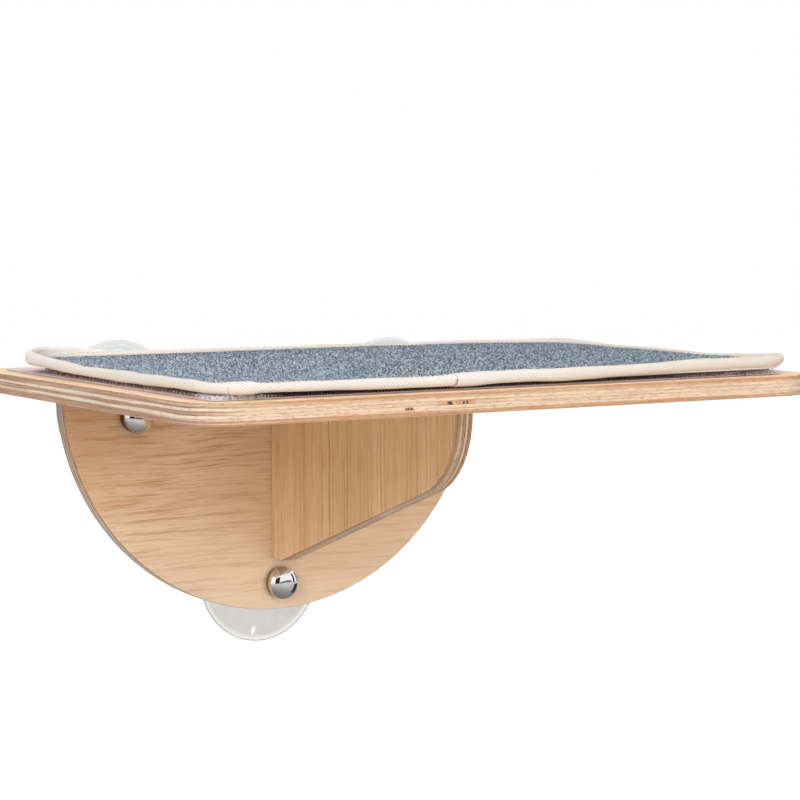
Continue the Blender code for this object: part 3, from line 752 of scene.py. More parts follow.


# %% [markdown]
# ## Suction cups
# The cups are clear soft PVC: a thin dome that ends in a small bead round its rim, and a thick
# neck moulded over the flat head of the threaded stud. Clear plastic is a glass-like shader with
# a slight grey tint. Its colour also carries painted light: a pale highlight line just inside the
# rim, a dark line at the rim that is stronger low down, lighter and bluer upper cups and a glint
# on the lower one. The wall needs its true inner and outer surface, because what the eye reads as
# a clear cup is only the bending of light between the two.

# %% Clear PVC
GLINT_PLACE, GLINT_STRETCH = (-5 * MM, -3 * MM, -166 * MM), (1.6, 0.3, 0.7)
clear_pvc, tree, shader = new_finish("clear_pvc", 0.06)
place, axes = placed(tree)
haze = noise(place, 38.0, 3.0, 0.6)
reach = add(tree, "ShaderNodeAttribute", attribute_name="reach").outputs["Fac"]
painted_glint = away_from(place, GLINT_PLACE, GLINT_STRETCH)
painted_rim_shade_low = remap(axes["Z"], -45 * MM, -90 * MM, 0.25, 0.8)
# painted light in the tint: upper cups lighter and bluer, a pale line inside the rim, a glint on the
# lower cup, and a dark line at the rim, stronger low down
tint = tinted(
    (209, 206, 200), (remap(haze, 0.35, 0.7), (194, 192, 187)),
    (remap(axes["Z"], -90 * MM, -45 * MM), (214, 218, 222)),
    (remap(reach, 0.91, 0.96, 0.0, 0.45), (244, 244, 242)),
    (remap(painted_glint, 2.6 * MM, 1.6 * MM, 0.0, 0.9), (252, 255, 255)),
    (times(remap(reach, 0.978, 0.995), painted_rim_shade_low), (150, 150, 146)),
)
fill(shader, {"Base Color": tint, "Transmission Weight": 1.0, "IOR": 1.42,
              "Roughness": remap(haze, 0.35, 0.75, 0.03, 0.14)})
bumped(shader, noise(place, 110.0), 0.15 * MM, 0.6)
print("finish:", clear_pvc.name)

# %% Cup profile
RIM, LAND, HOLLOW, WALL, RIM_WALL = 42.5, 6.0, 9.0, 2.2, 1.5
NECK, NECK_TOP, POCKET, POCKET_LOW, POCKET_HIGH, STUD_HOLE = 12.7, 17.7, 8.3, 11.2, 14.2, 3.3
BEAD, FOOT_FILLET, NECK_ROUND = 0.9, 1.6, 1.0
# inwards from the rim and up, where the bead runs out into the wall
BEHIND_BEAD = ((2.2, 1.35), (4.0, 1.2))
WALL_STEPS = 22


def cup_profile():
    """The cup's wall, from the middle of the hollow round its rim and neck to the stud's pocket."""
    reach = RIM - LAND
    shares = [i / WALL_STEPS for i in range(WALL_STEPS + 1)]
    inner = [(reach * share, HOLLOW * (1 - share ** 2)) for share in shares]
    lip = [(RIM - BEAD, 0.0)] + arc_points((RIM - BEAD, BEAD), BEAD, -60, 90, 6)
    lip += [(RIM - inwards, up) for inwards, up in BEHIND_BEAD]
    outer = []
    for share in shares[:-1]:
        radius = reach + (NECK + FOOT_FILLET - reach) * share
        wall = RIM_WALL + (WALL - RIM_WALL) * share
        outer.append((radius, HOLLOW * (1 - (radius / reach) ** 2) + wall))
    foot = HOLLOW * (1 - (NECK / reach) ** 2) + WALL
    fillet = arc_points((NECK + FOOT_FILLET, foot + FOOT_FILLET), FOOT_FILLET, 262, 184, 5)
    top = arc_points((NECK - NECK_ROUND, NECK_TOP - NECK_ROUND), NECK_ROUND, 0, 90, 5)
    pocket = [(STUD_HOLE, NECK_TOP), (STUD_HOLE, POCKET_HIGH), (POCKET, POCKET_HIGH),
              (POCKET, POCKET_LOW), (0.0, POCKET_LOW)]
    return inner + lip + outer + fillet + top + pocket


print("cup profile of", len(cup_profile()), "points")

# %% [markdown]
# A soft flange never sits quite true on its stud. Each cup's flange leans a little, more towards
# the rim, while its neck stays where the stud holds it.

# %% Cups
# sideways and upwards in mm at the rim, and how much of its width is left
FLANGE_LEAN = {
    "lower": (0.4, 0.0, 1.0), "upper_left": (1.4, 2.7, 0.965), "upper_right": (-2.2, -1.6, 1.0),
}
LEAN_GROWTH = 1.3


def note_reach(cup, middle):
    """Write down each point's distance from the cup's axis as a share of the rim, for the finish."""
    noted = cup.data.attributes.new("reach", "FLOAT", "POINT")
    for vertex, item in zip(cup.data.vertices, noted.data):
        item.value = math.hypot(vertex.co.x - middle.x, vertex.co.z - middle.z) / (RIM * MM)


def lean_flange(cup, middle, sideways, upwards, squeeze):
    """Shift the flange sideways and upwards, growing from the neck to the rim."""
    for vertex in cup.data.vertices:
        dx, dz = vertex.co.x - middle.x, vertex.co.z - middle.z
        grown = max(0.0, (math.hypot(dx, dz) / MM - NECK) / (RIM - NECK)) ** LEAN_GROWTH
        vertex.co.x += (sideways * MM + dx * (squeeze - 1)) * grown
        vertex.co.z += upwards * MM * grown


for key, lean in FLANGE_LEAN.items():
    node = f"suction_cup_{key}"
    middle = box_centre(node)
    on_axis = (middle.x, 0.0, middle.z)
    cup = turned_piece(f"clear_cup_{key}", cup_profile(), on_axis, clear_pvc, steps=112)
    note_reach(cup, middle)
    lean_flange(cup, middle, *lean)
    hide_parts(node)
    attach(cup, "perch")

# %% [markdown]
# ## Cap nuts
# Each nut is a short round skirt under a polished dome, a little flatter in its middle than half
# an ellipse. Chrome has almost no colour of its own and shows whatever is around it, so its
# finish is a metal shader, very smooth, with faint fingermarks in the roughness. Its colour holds
# painted reflection and shade: brown towards the foot, where the skirt mirrors the wooden plate,
# and darkest close under the shelf. The dome must be finely stepped, or its reflections would
# break.

# %% Chrome and the cap nuts
chrome, tree, shader = new_finish("polished_chrome", 0.05, 1.0)
place, axes = placed(tree)
marks = noise(place, 260.0, 3.0, 0.6)
nut_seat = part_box("cap_nut_lower")[1].y
# painted reflection and shade: brown towards the foot, where the skirt mirrors the wooden plate
foot = remap(axes["Y"], nut_seat - 6.6 * MM, nut_seat - 1.0 * MM)
# painted shade of the shelf, darkest close under it
painted_shelf_shade = times(remap(axes["Z"], -70 * MM, -45 * MM),
                    remap(axes["Y"], nut_seat - 7.6 * MM, nut_seat - 4.0 * MM))
tone = tinted((242, 240, 238), (foot, (132, 106, 88)), (painted_shelf_shade, (92, 66, 50)))
fill(shader, {"Base Color": tone, "Roughness": remap(marks, 0.4, 0.75, 0.03, 0.13)})

NUT, SKIRT, DOME, BORE, BORE_DEPTH = 10.5, 4.0, 5.5, 3.3, 7.5
DOME_FULLNESS = 2.4
DOME_STEPS = 30
BORE_CHAMFER, FOOT_ROUND = 0.3, 0.45


def nut_profile():
    """From the blind end of the bore, out round the foot, up the skirt and over the dome."""
    foot = [(0.0, BORE_DEPTH), (BORE, BORE_DEPTH), (BORE, BORE_CHAMFER), (BORE + BORE_CHAMFER, 0.0)]
    foot += arc_points((NUT - FOOT_ROUND, FOOT_ROUND), FOOT_ROUND, -90, 0, 4)
    turns = [math.pi / 2 * i / DOME_STEPS for i in range(DOME_STEPS)]
    power = 2 / DOME_FULLNESS
    dome = [(NUT * math.cos(t) ** power, SKIRT + DOME * math.sin(t) ** power) for t in turns]
    return foot + dome + [(0.0, SKIRT + DOME)]


for key in ("lower", "upper_left", "upper_right"):
    node = f"cap_nut_{key}"
    middle = box_centre(node)
    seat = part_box(node)[1].y
    on_seat = (middle.x, seat, middle.z)
    nut = turned_piece(f"dome_nut_{key}", nut_profile(), on_seat, chrome, sharp_degrees=40)
    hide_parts(node)
    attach(nut, f"nut_{key}")

# %% [markdown]
# ## Studs and wood screws
# The studs are plain steel with a fine thread. The thread is too small to be worth a mesh inside
# a clear neck, so it is a saw-tooth height along the stud's axis, which runs along Y. The wood
# screws show only their countersunk heads, flush with the wood, each with a cross recess.

# %% Steel and zinc
def metal_with_thread(name, colour, pitch):
    """Steel whose shank carries a fine thread along Y."""
    finish, tree, shader = new_finish(name, 0.28, 1.0)
    place, axes = placed(tree)
    tooth = maths("PINGPONG", axes["Y"], pitch / 2)
    scuffs = noise(place, 900.0)
    fill(shader, {"Base Color": colour, "Roughness": remap(scuffs, 0.3, 0.7, 0.2, 0.38)})
    bumped(shader, remap(tooth, 0.0, pitch / 2), 0.35 * MM, 0.8)
    return finish


stud_steel = metal_with_thread("threaded_steel", (196, 196, 194), 1.0 * MM)
zinc, tree, shader = new_finish("bright_zinc", 0.3, 1.0)
place, _ = placed(tree)
fill(shader, {"Base Color": mixed(noise(place, 350.0), (206, 204, 196), (178, 178, 176))})
bumped(shader, noise(place, 1500.0), 0.04 * MM, 0.5)
for name, part in nodes.items():
    if name.startswith("cup_stud"):
        part.data.materials[0] = stud_steel
    elif "_screw_" in name:
        part.data.materials[0] = zinc
print("steel on the studs, zinc on the screws")

# %% [markdown]
# ## The mat's lie
# The mat doesn't lie flat. The far left corner of its binding stands up, so that its inner face
# shows as a broad cream band, and the right front corner lifts off the tape. Two descriptions give
# the lie. A few soft hills raise or lower the carpet as a whole. A list of places round the edge
# says how far the binding's crest and its underside are off their flat height there, because a
# hand-sewn edge is never even. The list runs from the right front corner by way of the right side,
# the back and the left side to the front, with a smooth passage between two places.

# %% Lie of the mat
half_wide = (binding_high.x - binding_low.x) / 2
half_deep = (binding_high.y - binding_low.y) / 2
MAT_CORNER = 25 * MM
TAPE = 0.9
FOLD_LOW = binding_low.z / MM - 0.2
LIFTS = (
    # side share, depth share, rise in mm, spread in mm
    (-1.0, 1.0, 0.6, 95.0), (-1.0, -1.0, 0.7, 60.0), (1.0, -1.0, 1.5, 60.0), (0.0, 1.0, 0.4, 90.0),
    (-1.0, 0.1, 0.4, 80.0), (1.0, 0.1, -0.7, 80.0), (0.95, 1.0, -1.2, 45.0),
)
EDGE_PLACES = (
    # way along the edge in mm, rise of the crest in mm, rise of the underside in mm
    (0, 1.7, 2.4), (8, 2.0, 3.1), (15, 2.1, 3.5), (27, 2.0, 3.5), (40, 1.1, 2.6), (60, 0.1, 1.4),
    (81, -1.0, 0.6), (102, -1.5, 0.0), (125, -0.9, 0.0), (165, -0.8, 0.0), (185, -1.0, 0.0),
    (206, -1.0, 0.0), (228, -0.6, 0.0), (247, 0.1, 0.0), (262, 0.0, 0.0), (275, -0.6, 0.0),
    (287, -1.1, 0.0), (307, -0.4, 0.0), (368, -0.6, 0.2), (390, 0.0, 0.4), (410, 0.3, 0.4),
    (470, 0.2, 0.4), (530, 0.6, 0.4), (555, 0.5, 0.5), (574, 1.1, 0.6), (594, 2.9, 0.9),
    (611, 4.9, 1.7), (624, 5.2, 2.4), (640, 4.5, 2.7), (654, 3.3, 2.8), (668, 2.1, 2.8),
    (682, 0.8, 2.2), (696, -0.3, 1.7), (716, -1.1, 1.3), (737, -0.8, 1.1), (758, -0.7, 1.0),
    (779, -0.6, 0.9), (800, -0.3, 0.9), (822, -0.5, 1.5), (842, -0.6, 2.0), (860, -0.5, 1.7),
    (876, -0.2, 0.9), (890, 0.2, 0.6), (897, 0.3, 0.8), (904, -0.6, 1.6), (925, -0.8, 1.3),
    (943, -1.1, 1.2), (964, -1.4, 0.8), (984, -1.2, 0.4), (1004, -1.1, 0.2), (1025, -0.6, 0.3),
    (1046, -0.4, 0.9), (1066, 0.2, 0.8), (1086, -0.1, 0.2), (1106, 0.0, 0.6), (1127, 0.4, 1.1),
    (1148, 0.8, 1.7), (1168, 1.4, 2.0), (1190, 1.6, 2.3), (1212, 1.6, 2.3),
)
print(len(LIFTS), "hills and", len(EDGE_PLACES), "places round the edge")

# %% [markdown]
# A hill is 1 at its middle and falls away softly to all sides, so hills can be added up without a
# crease. The loop tape rises with the carpet, but only a little way, because the hooks hold it.
# Near the front's left end it has come loose and hangs lower.

# %% Hills and lifts
def ramp(value, start, end):
    """0 before a start, 1 past an end, even in between."""
    return min(max((value - start) / (end - start), 0.0), 1.0)


def eased(share):
    """A share from 0 to 1 that starts and stops softly."""
    return share * share * (3 - 2 * share)


def inside_edge(x, y):
    """Distance from a place on the mat to the mat's edge."""
    past_x = abs(x - mat_centre.x) - (half_wide - MAT_CORNER)
    past_y = abs(y - mat_centre.y) - (half_deep - MAT_CORNER)
    round_corner = math.hypot(max(past_x, 0), max(past_y, 0))
    return MAT_CORNER - round_corner - min(max(past_x, past_y), 0)


def hill(x, y, side_share, depth_share, spread_mm):
    """1 at a place on the mat, falling away softly around it."""
    dx = x - (mat_centre.x + side_share * half_wide)
    dy = y - (mat_centre.y + depth_share * half_deep)
    return math.exp(-(dx * dx + dy * dy) / (spread_mm * MM) ** 2)


def mat_lift(x, y):
    """How far the carpet is raised at a place, in metres."""
    return sum(rise * MM * hill(x, y, side, depth, spread) for side, depth, rise, spread in LIFTS)


HELD_RISE, CORNER_RISE, CORNER_SPREAD = 0.4 * MM, 0.6 * MM, 45.0
FLAP_X, FLAP_SPREAD, FLAP_DROP = -174 * MM, 8 * MM, 1.8 * MM
FLAP_FROM, FLAP_FULL = -300 * MM, -306 * MM


def tape_lift(x, y):
    """The loop tape rises with the carpet, but where it holds to the hooks it stays low."""
    corner = CORNER_RISE * hill(x, y, 1.0, -1.0, CORNER_SPREAD)
    flap = FLAP_DROP * ramp(y, FLAP_FROM, FLAP_FULL) * math.exp(-((x - FLAP_X) / FLAP_SPREAD) ** 2)
    return min(mat_lift(x, y), HELD_RISE) + corner - flap


corner_lift = mat_lift(mat_centre.x + half_wide, mat_centre.y - half_deep)
print("right front corner of the carpet raised by", round(corner_lift / MM, 1), "mm")

# %% [markdown]
# The binding, its stitches and the carpet's edge all follow one outline: a rectangle with round
# corners, walked from the right front corner. Each point comes with its direction outwards and
# with the way walked so far, and by that way the list of places is read.

# %% Walk round the mat
def mat_outline(inset, step=1.6 * MM):
    """Points round the mat's edge, drawn in by an inset, with the way walked along the edge."""
    radius = MAT_CORNER - inset
    straight_x, straight_y = half_wide - MAT_CORNER, half_deep - MAT_CORNER
    quarter = MAT_CORNER * math.pi / 2
    points, walked = [], 0.0
    corners = ((1, -1, -90), (1, 1, 0), (-1, 1, 90), (-1, -1, 180))
    for number, (sx, sy, first) in enumerate(corners):
        centre = Vector((mat_centre.x + sx * straight_x, mat_centre.y + sy * straight_y))
        bends = max(6, round(quarter / step))
        for i in range(bends + 1):
            turn = math.radians(first + 90 * i / bends)
            outwards = Vector((math.cos(turn), math.sin(turn)))
            points.append((centre + outwards * radius, outwards, walked + quarter * i / bends))
        walked += quarter
        length = 2 * (straight_y if number % 2 == 0 else straight_x)
        runs = round(length / step)
        start, outwards = points[-1][0], points[-1][1]
        ahead = Vector((-outwards.y, outwards.x))
        for i in range(1, runs):
            points.append((start + ahead * (length * i / runs), outwards, walked + length * i / runs))
        walked += length
    return points, walked


edge_points, edge_length = mat_outline(0.0)
print("the mat's edge is", round(edge_length / MM), "mm long")


def edge_lie(walked):
    """Rise of the binding's crest and of its underside at a way along the edge, in mm."""
    places = EDGE_PLACES + ((edge_length / MM, *EDGE_PLACES[0][1:]),)
    at = walked / MM % (edge_length / MM)
    for first, second in zip(places, places[1:]):
        if at <= second[0]:
            share = eased((at - first[0]) / (second[0] - first[0]))
            return [a + (b - a) * share for a, b in zip(first[1:], second[1:])]


print("crest and underside at the front's middle:", [round(v, 1) for v in edge_lie(1065 * MM)], "mm")

# %% [markdown]
# ## Hook and loop tape
# The mat is held by two kinds of tape: one on the shelf with stiff little hooks, one under the mat
# with soft loops. From the side the hooks show as a row of dark teeth in the shadow under the
# binding, above a thin lilac-white backing. So the backing is a real thin strip with its small
# selvedge, and a recipe plants a field of bent bristles on it. A bristle is only a few faces.
# The loop tape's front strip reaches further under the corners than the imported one, and its left
# end has come loose and sags on to the hooks.

# %% Nylon
RIB = 0.35 * MM


def woven_nylon(name, colour, dark):
    """Finely ribbed nylon."""
    finish, tree, shader = new_finish(name, 0.6)
    place, axes = placed(tree)
    ribs = maths("PINGPONG", maths("ADD", axes["X"], axes["Y"]), RIB)
    mottle = remap(noise(place, 700.0), 0.4, 0.7, 0.0, 0.6)
    fill(shader, {"Base Color": mixed(mottle, colour, dark), "Sheen Weight": 0.2})
    bumped(shader, remap(ribs, 0.0, RIB), 0.12 * MM, 0.6)
    return finish


lilac_tape = woven_nylon("lilac_nylon_tape", (228, 206, 204), (196, 174, 172))
pale_tape = woven_nylon("pale_nylon_tape", (230, 222, 218), (204, 192, 190))
print("finishes:", lilac_tape.name, pale_tape.name)

# %% Strip mesh
STRIP_STEP, CORNER_CUT = 5 * MM, 0.48 * MM


def bridge(bm, first, second):
    """Faces between two rings of points."""
    pairs = zip(first, first[1:] + first[:1], second[1:] + second[:1], second)
    return [bm.faces.new(corners) for corners in pairs]


def closed_mesh(bm, name, finish, sharp_degrees=None):
    """Turn all faces outwards and make a mesh with its finish, smooth up to a sharp angle."""
    bmesh.ops.recalc_face_normals(bm, faces=bm.faces)
    mesh = bpy.data.meshes.new(name)
    bm.to_mesh(mesh)
    bm.free()
    if sharp_degrees is not None:
        mesh.shade_smooth()
        mesh.set_sharp_from_angle(angle=math.radians(sharp_degrees))
    mesh.materials.append(finish)
    return mesh


def strip_mesh(name, boxes, finish, rise=lambda x, y: 0.0):
    """Thin strips, one for each (low, high) box, gridded so that they can follow the mat."""
    bm = bmesh.new()
    for low, high in boxes:
        nx, ny = (max(4, round((high[i] - low[i]) / STRIP_STEP)) for i in (0, 1))
        under, over = {}, {}
        for z, layer in ((low.z, under), (high.z, over)):
            for i in range(nx + 1):
                for j in range(ny + 1):
                    x = low.x + (high.x - low.x) * i / nx
                    y = low.y + (high.y - low.y) * j / ny
                    if i in (0, nx) and j in (0, ny):
                        x += CORNER_CUT if i == 0 else -CORNER_CUT
                        y += CORNER_CUT if j == 0 else -CORNER_CUT
                    layer[i, j] = bm.verts.new((x, y, z + rise(x, y)))
        for i in range(nx):
            for j in range(ny):
                quad = ((i, j), (i + 1, j), (i + 1, j + 1), (i, j + 1))
                bm.faces.new([over[q] for q in quad])
                bm.faces.new([under[q] for q in reversed(quad)])
        rim = [(i, 0) for i in range(nx)] + [(nx, j) for j in range(ny)]
        rim += [(i, ny) for i in range(nx, 0, -1)] + [(0, j) for j in range(ny, 0, -1)]
        bridge(bm, [under[q] for q in rim], [over[q] for q in rim])
    return closed_mesh(bm, name, finish)


# %% Tape strips
TAPE_SIDES = ("left", "right", "front", "back")
HOOK_BACKING, LOOP_BACKING = 0.45 * MM, 0.5 * MM
LOOP_REACH, LOOP_GAP = 178 * MM, 0.6 * MM
hook_boxes, loop_boxes = [], []
for tape_side in TAPE_SIDES:
    low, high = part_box(f"hook_tape_{tape_side}")
    hook_boxes.append((low, Vector((high.x, high.y, low.z + HOOK_BACKING))))
    low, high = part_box(f"loop_tape_{tape_side}")
    if tape_side == "front":
        low, high = Vector((-LOOP_REACH, low.y, low.z)), Vector((LOOP_REACH, high.y, high.z))
    elif tape_side != "back":
        low = Vector((low.x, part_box("loop_tape_front")[1].y + LOOP_GAP, low.z))
    loop_boxes.append((Vector((low.x, low.y, high.z - LOOP_BACKING)), high))

hook_tape = show("hook_tape_backing", strip_mesh("hook_tape_backing", hook_boxes, lilac_tape))
loop_tape = show("loop_tape_backing", strip_mesh("loop_tape_backing", loop_boxes, pale_tape, tape_lift))
for tape, kind, body in ((hook_tape, "hook", "perch"), (loop_tape, "loop", "mat")):
    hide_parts(*[f"{kind}_tape_{tape_side}" for tape_side in TAPE_SIDES])
    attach(tape, body)
print("tape strips", len(hook_tape.data.polygons) + len(loop_tape.data.polygons), "faces")

# %% [markdown]
# The bristle recipe takes loose points and stands a bent three-sided tube on each one. A random
# turn and a small random lean keep the rows from looking like a comb. The points come in
# staggered rows, as on woven tape.

# %% Bristle recipe
bristles, sizes_in, bristles_out = recipe("bristles", {
    "Height": 1.3 * MM, "Reach": 0.6 * MM, "Thickness": 0.11 * MM, "Lean": 0.35,
    "Turn": 0.5, "Seed": 4, "Finish": steel_stand_in,
})
height, reach = sizes_in.outputs["Height"], sizes_in.outputs["Reach"]
bend_curve = add(bristles, "GeometryNodeCurvePrimitiveBezierSegment", {
    "Resolution": 4, "Start": (0, 0, 0),
    "Start Handle": joined(z=times(height, 1.25)),
    "End Handle": joined(reach, 0.0, times(height, 1.25)),
    "End": joined(reach, 0.0, times(height, 0.55)),
}, mode="POSITION")
ring = add(bristles, "GeometryNodeCurvePrimitiveCircle", {
    "Resolution": 3, "Radius": sizes_in.outputs["Thickness"],
})
bristle = add(bristles, "GeometryNodeCurveToMesh", {
    "Curve": bend_curve.outputs[0], "Profile Curve": ring.outputs[0], "Fill Caps": True,
})


def random_between(low, high, seed, draw=0):
    """A different number for every point, where each draw of a recipe has its own seed."""
    inputs = {"Min": low, "Max": high, "Seed": maths("ADD", seed, float(draw))}
    return after("FunctionNodeRandomValue", inputs, data_type="FLOAT").outputs[1]


def leaning(lean, least_turn, most_turn, seed):
    """A lean to any side and a turn about the upright, different for every point."""
    back = times(lean, -1.0)
    return joined(random_between(back, lean, seed), random_between(back, lean, seed, 1),
                  random_between(least_turn, most_turn, seed, 2))


seed, turn = sizes_in.outputs["Seed"], sizes_in.outputs["Turn"]
tilt = leaning(sizes_in.outputs["Lean"], times(turn, -1.0), turn, seed)
size = random_between(0.85, 1.1, seed, 3)
planted = add(bristles, "GeometryNodeInstanceOnPoints", {
    "Points": sizes_in.outputs["Geometry"], "Instance": bristle.outputs[0],
    "Rotation": tilt, "Scale": joined(size, size, size),
})
finish_recipe(bristles_out, planted.outputs[0], sizes_in.outputs["Finish"])
print("bristle recipe of", len(bristles.nodes), "nodes")

# %% [markdown]
# Hooks stand only where the mat presses them, a few millimetres in from the tape's plain woven
# edge. Their colour is painted dark, for dust and for the shade under the binding, and less dark
# at both sides, where light reaches further in. At the left front corner, where the mat is pulled
# off most often, and at the very end of the right one, they are combed out into a whitish fuzz.
# Beside the right one lies a messy place, where they are combed out as well, but less neatly.

# %% Hook yarn
# middle and radius in mm of the two combed-out places and of the messy one
FUZZ_PLACES = ((-177.0, -306.0, 20.0), (174.0, -304.0, 9.0))
MESSY_PLACE = (128.0, -306.0, 30.0)
LIT_FROM, LIT_FULL = 85 * MM, 150 * MM
hook_nylon, tree, shader = new_finish("hook_nylon", 0.6)
place, axes = placed(tree)
fuzzy = 0.0
for x, y, radius in FUZZ_PLACES:
    away = away_from(place, (x * MM, y * MM, 0), (1, 1, 0))
    near = remap(away, radius * 0.8 * MM, radius * 1.5 * MM, 1.0, 0.0)
    fuzzy = maths("MAXIMUM", fuzzy, near)
grime = noise(place, 420.0)
# painted shade: the hooks are dark for dust and for the shade under the binding, less so at both sides
dust_and_shade = mixed(remap(grime, 0.35, 0.7), (112, 94, 92), (64, 50, 48))
less_shaded_hooks = mixed(remap(grime, 0.42, 0.62), (250, 230, 222), (138, 114, 106))
fuzz = mixed(remap(grime, 0.56, 0.74), (255, 253, 255), (198, 180, 180))
less_shade_at_sides = maths("MAXIMUM", remap(axes["X"], -150 * MM, -170 * MM),
                 remap(axes["X"], LIT_FROM, LIT_FULL))
fill(shader, {"Base Color": tinted(dust_and_shade, (less_shade_at_sides, less_shaded_hooks), (fuzzy, fuzz))})
bumped(shader, grime, 0.1 * MM, 0.6)

loop_nylon, tree, shader = new_finish("loop_nylon", 0.6)
place, axes = placed(tree)
lint = noise(place, 700.0)
linty = remap(lint, 0.4, 0.7)
# painted shade on the loops under the binding, less towards the lifted right corner
shaded_loops = mixed(linty, (150, 136, 138), (96, 84, 84))
lit_loops = mixed(linty, (236, 222, 226), (170, 154, 156))
lit_right_share = remap(axes["X"], LIT_FROM, LIT_FULL)
fill(shader, {"Base Color": mixed(lit_right_share, shaded_loops, lit_loops), "Sheen Weight": 0.2})
bumped(shader, lint, 0.1 * MM, 0.6)
print("finishes:", hook_nylon.name, loop_nylon.name)

# %% Planting
HOOK_PITCH = (1.9 * MM, 2.2 * MM)
FUZZ_PITCH = (1.1 * MM, 1.2 * MM)
LOOP_PITCH = (2.1 * MM, 2.3 * MM)
SELVEDGE = 0.8 * MM
PLAIN_EDGE, PLAIN_CORNER, PLAIN_SPREAD = 4.5 * MM, 7 * MM, 42.0


def planting_points(name, boxes, pitch, jitter, seed, height_at, wanted):
    """Loose points in staggered rows over the strips, where they are wanted."""
    rng = random.Random(seed)
    points = []
    for low, high in boxes:
        wide, deep = high.x - low.x - 2 * SELVEDGE, high.y - low.y - 2 * SELVEDGE
        nx, ny = int(wide / pitch[0]), int(deep / pitch[1])
        for i in range(nx + 1):
            for j in range(ny + 1):
                x = low.x + SELVEDGE + wide * min((i + 0.5 * (j % 2)) / (nx + 0.5), 1)
                y = low.y + SELVEDGE + deep * j / ny
                x, y = x + rng.uniform(-jitter, jitter), y + rng.uniform(-jitter, jitter)
                if wanted(x, y):
                    points.append((x, y, height_at(x, y)))
    mesh = bpy.data.meshes.new(name)
    mesh.from_pydata(points, [], [])
    return mesh


def under_mat(x, y):
    """Where the mat presses on the hooks, which is further in where its far left corner is raised."""
    return inside_edge(x, y) > PLAIN_EDGE + PLAIN_CORNER * hill(x, y, -1.0, 0.95, PLAIN_SPREAD)


def fuzzy_place(x, y):
    """The combed-out places of the hooks, and the messy one beside the right corner."""
    places = (*FUZZ_PLACES, MESSY_PLACE)
    return any(math.hypot(x - px * MM, y - py * MM) < radius * MM for px, py, radius in places)


# %% [markdown]
# The same recipe grows all three fields, each with its own sizes. Hooks stand almost upright in
# rows. The combed-out ones are thinner, longer and lean every way, and the loops are low and
# thin. The loops grow upwards like the hooks and are then turned over to hang under their tape.

# %% Hooks and loops
hook_top = hook_boxes[0][1].z
hook_points = planting_points("hook_points", hook_boxes, HOOK_PITCH, jitter=0.15 * MM, seed=3,
                              height_at=lambda x, y: hook_top, wanted=under_mat)
hooks = cook("tape_hooks", hook_points, bristles, Height=1.35 * MM, Reach=0.6 * MM,
             Thickness=0.24 * MM, Lean=0.15, Turn=0.5, Seed=5, Finish=hook_nylon)
fuzz_points = planting_points("fuzz_points", hook_boxes, FUZZ_PITCH, jitter=1.0 * MM, seed=17,
                              height_at=lambda x, y: hook_top, wanted=fuzzy_place)
fuzz_hooks = cook("tape_hook_fuzz", fuzz_points, bristles, Height=1.8 * MM, Reach=1.7 * MM,
                  Thickness=0.15 * MM, Lean=0.8, Turn=3.1, Seed=31, Finish=hook_nylon)
for tuft_field in (hooks, fuzz_hooks):
    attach(tuft_field, "perch")

loop_low = loop_boxes[0][0].z
loop_points = planting_points("loop_points", loop_boxes, LOOP_PITCH, jitter=0.6 * MM, seed=8,
                              height_at=lambda x, y: -tape_lift(x, y), wanted=lambda x, y: True)
loops = cook("tape_loops", loop_points, bristles, Height=0.85 * MM, Reach=0.9 * MM,
             Thickness=0.13 * MM, Lean=0.5, Turn=3.1, Seed=12, Finish=loop_nylon)
loops.data.transform(Matrix.Translation((0, 0, loop_low)) @ Matrix.Diagonal((1, 1, -1, 1)))
outward(loops)
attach(loops, "mat")

# %% [markdown]
# ## Carpet
# The carpet is short cut pile in heathered blue-grey yarn on a thin backing. Seen this low, pile is
# mostly thousands of small tips catching light, so colour alone would look like paper. The base
# is a closed slab that follows the mat's lie, and the recipe after it plants the tufts.

# %% Heathered yarn
YARN_PAINTED_LIGHT = (
    # painted shade towards the right and along the back next to the binding, painted light at the far
    # left
    (0.24, (88, 102, 116), ("X", -60, 190)),
    (0.22, (182, 194, 206), ("X", -80, -185)),
    (0.22, (84, 98, 112), ("Y", -110, -62)),
)


def heathered_yarn(name, use_tone):
    """Blue-grey yarn that changes from tuft to tuft."""
    finish, tree, shader = new_finish(name, 0.95)
    place, axes = placed(tree)
    fine = noise(place, 1050.0, 3.0, 0.7)
    cloudy = noise(place, 45.0)
    if use_tone:
        tone = add(tree, "ShaderNodeAttribute", attribute_name="tuft_tone").outputs["Fac"]
        blend = maths("MULTIPLY_ADD", maths("SUBTRACT", fine, 0.5), 0.9, tone)
    else:
        blend = remap(fine, 0.3, 0.7)
    colour = tinted(
        (68, 80, 92), (remap(blend, 0.0, 0.45), (142, 157, 170)),
        (remap(blend, 0.5, 1.0), (208, 219, 229)),
        (remap(cloudy, 0.4, 0.7, 0.0, 0.25), (118, 132, 146)),
    )
    fill(shader, {"Base Color": painted_light_washed(axes, colour, YARN_PAINTED_LIGHT), "Specular IOR Level": 0.2,
                  "Sheen Weight": 0.25})
    bumped(shader, fine, 0.5 * MM, 0.8)
    return finish


pile_yarn = heathered_yarn("blue_grey_pile", True)
pile_base = heathered_yarn("blue_grey_pile_base", False)
print("finishes:", pile_yarn.name, pile_base.name)

# %% Carpet slab
carpet_low, carpet_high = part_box("mat_carpet")
PILE = 1.15 * MM
SLAB_STEP = 5 * MM
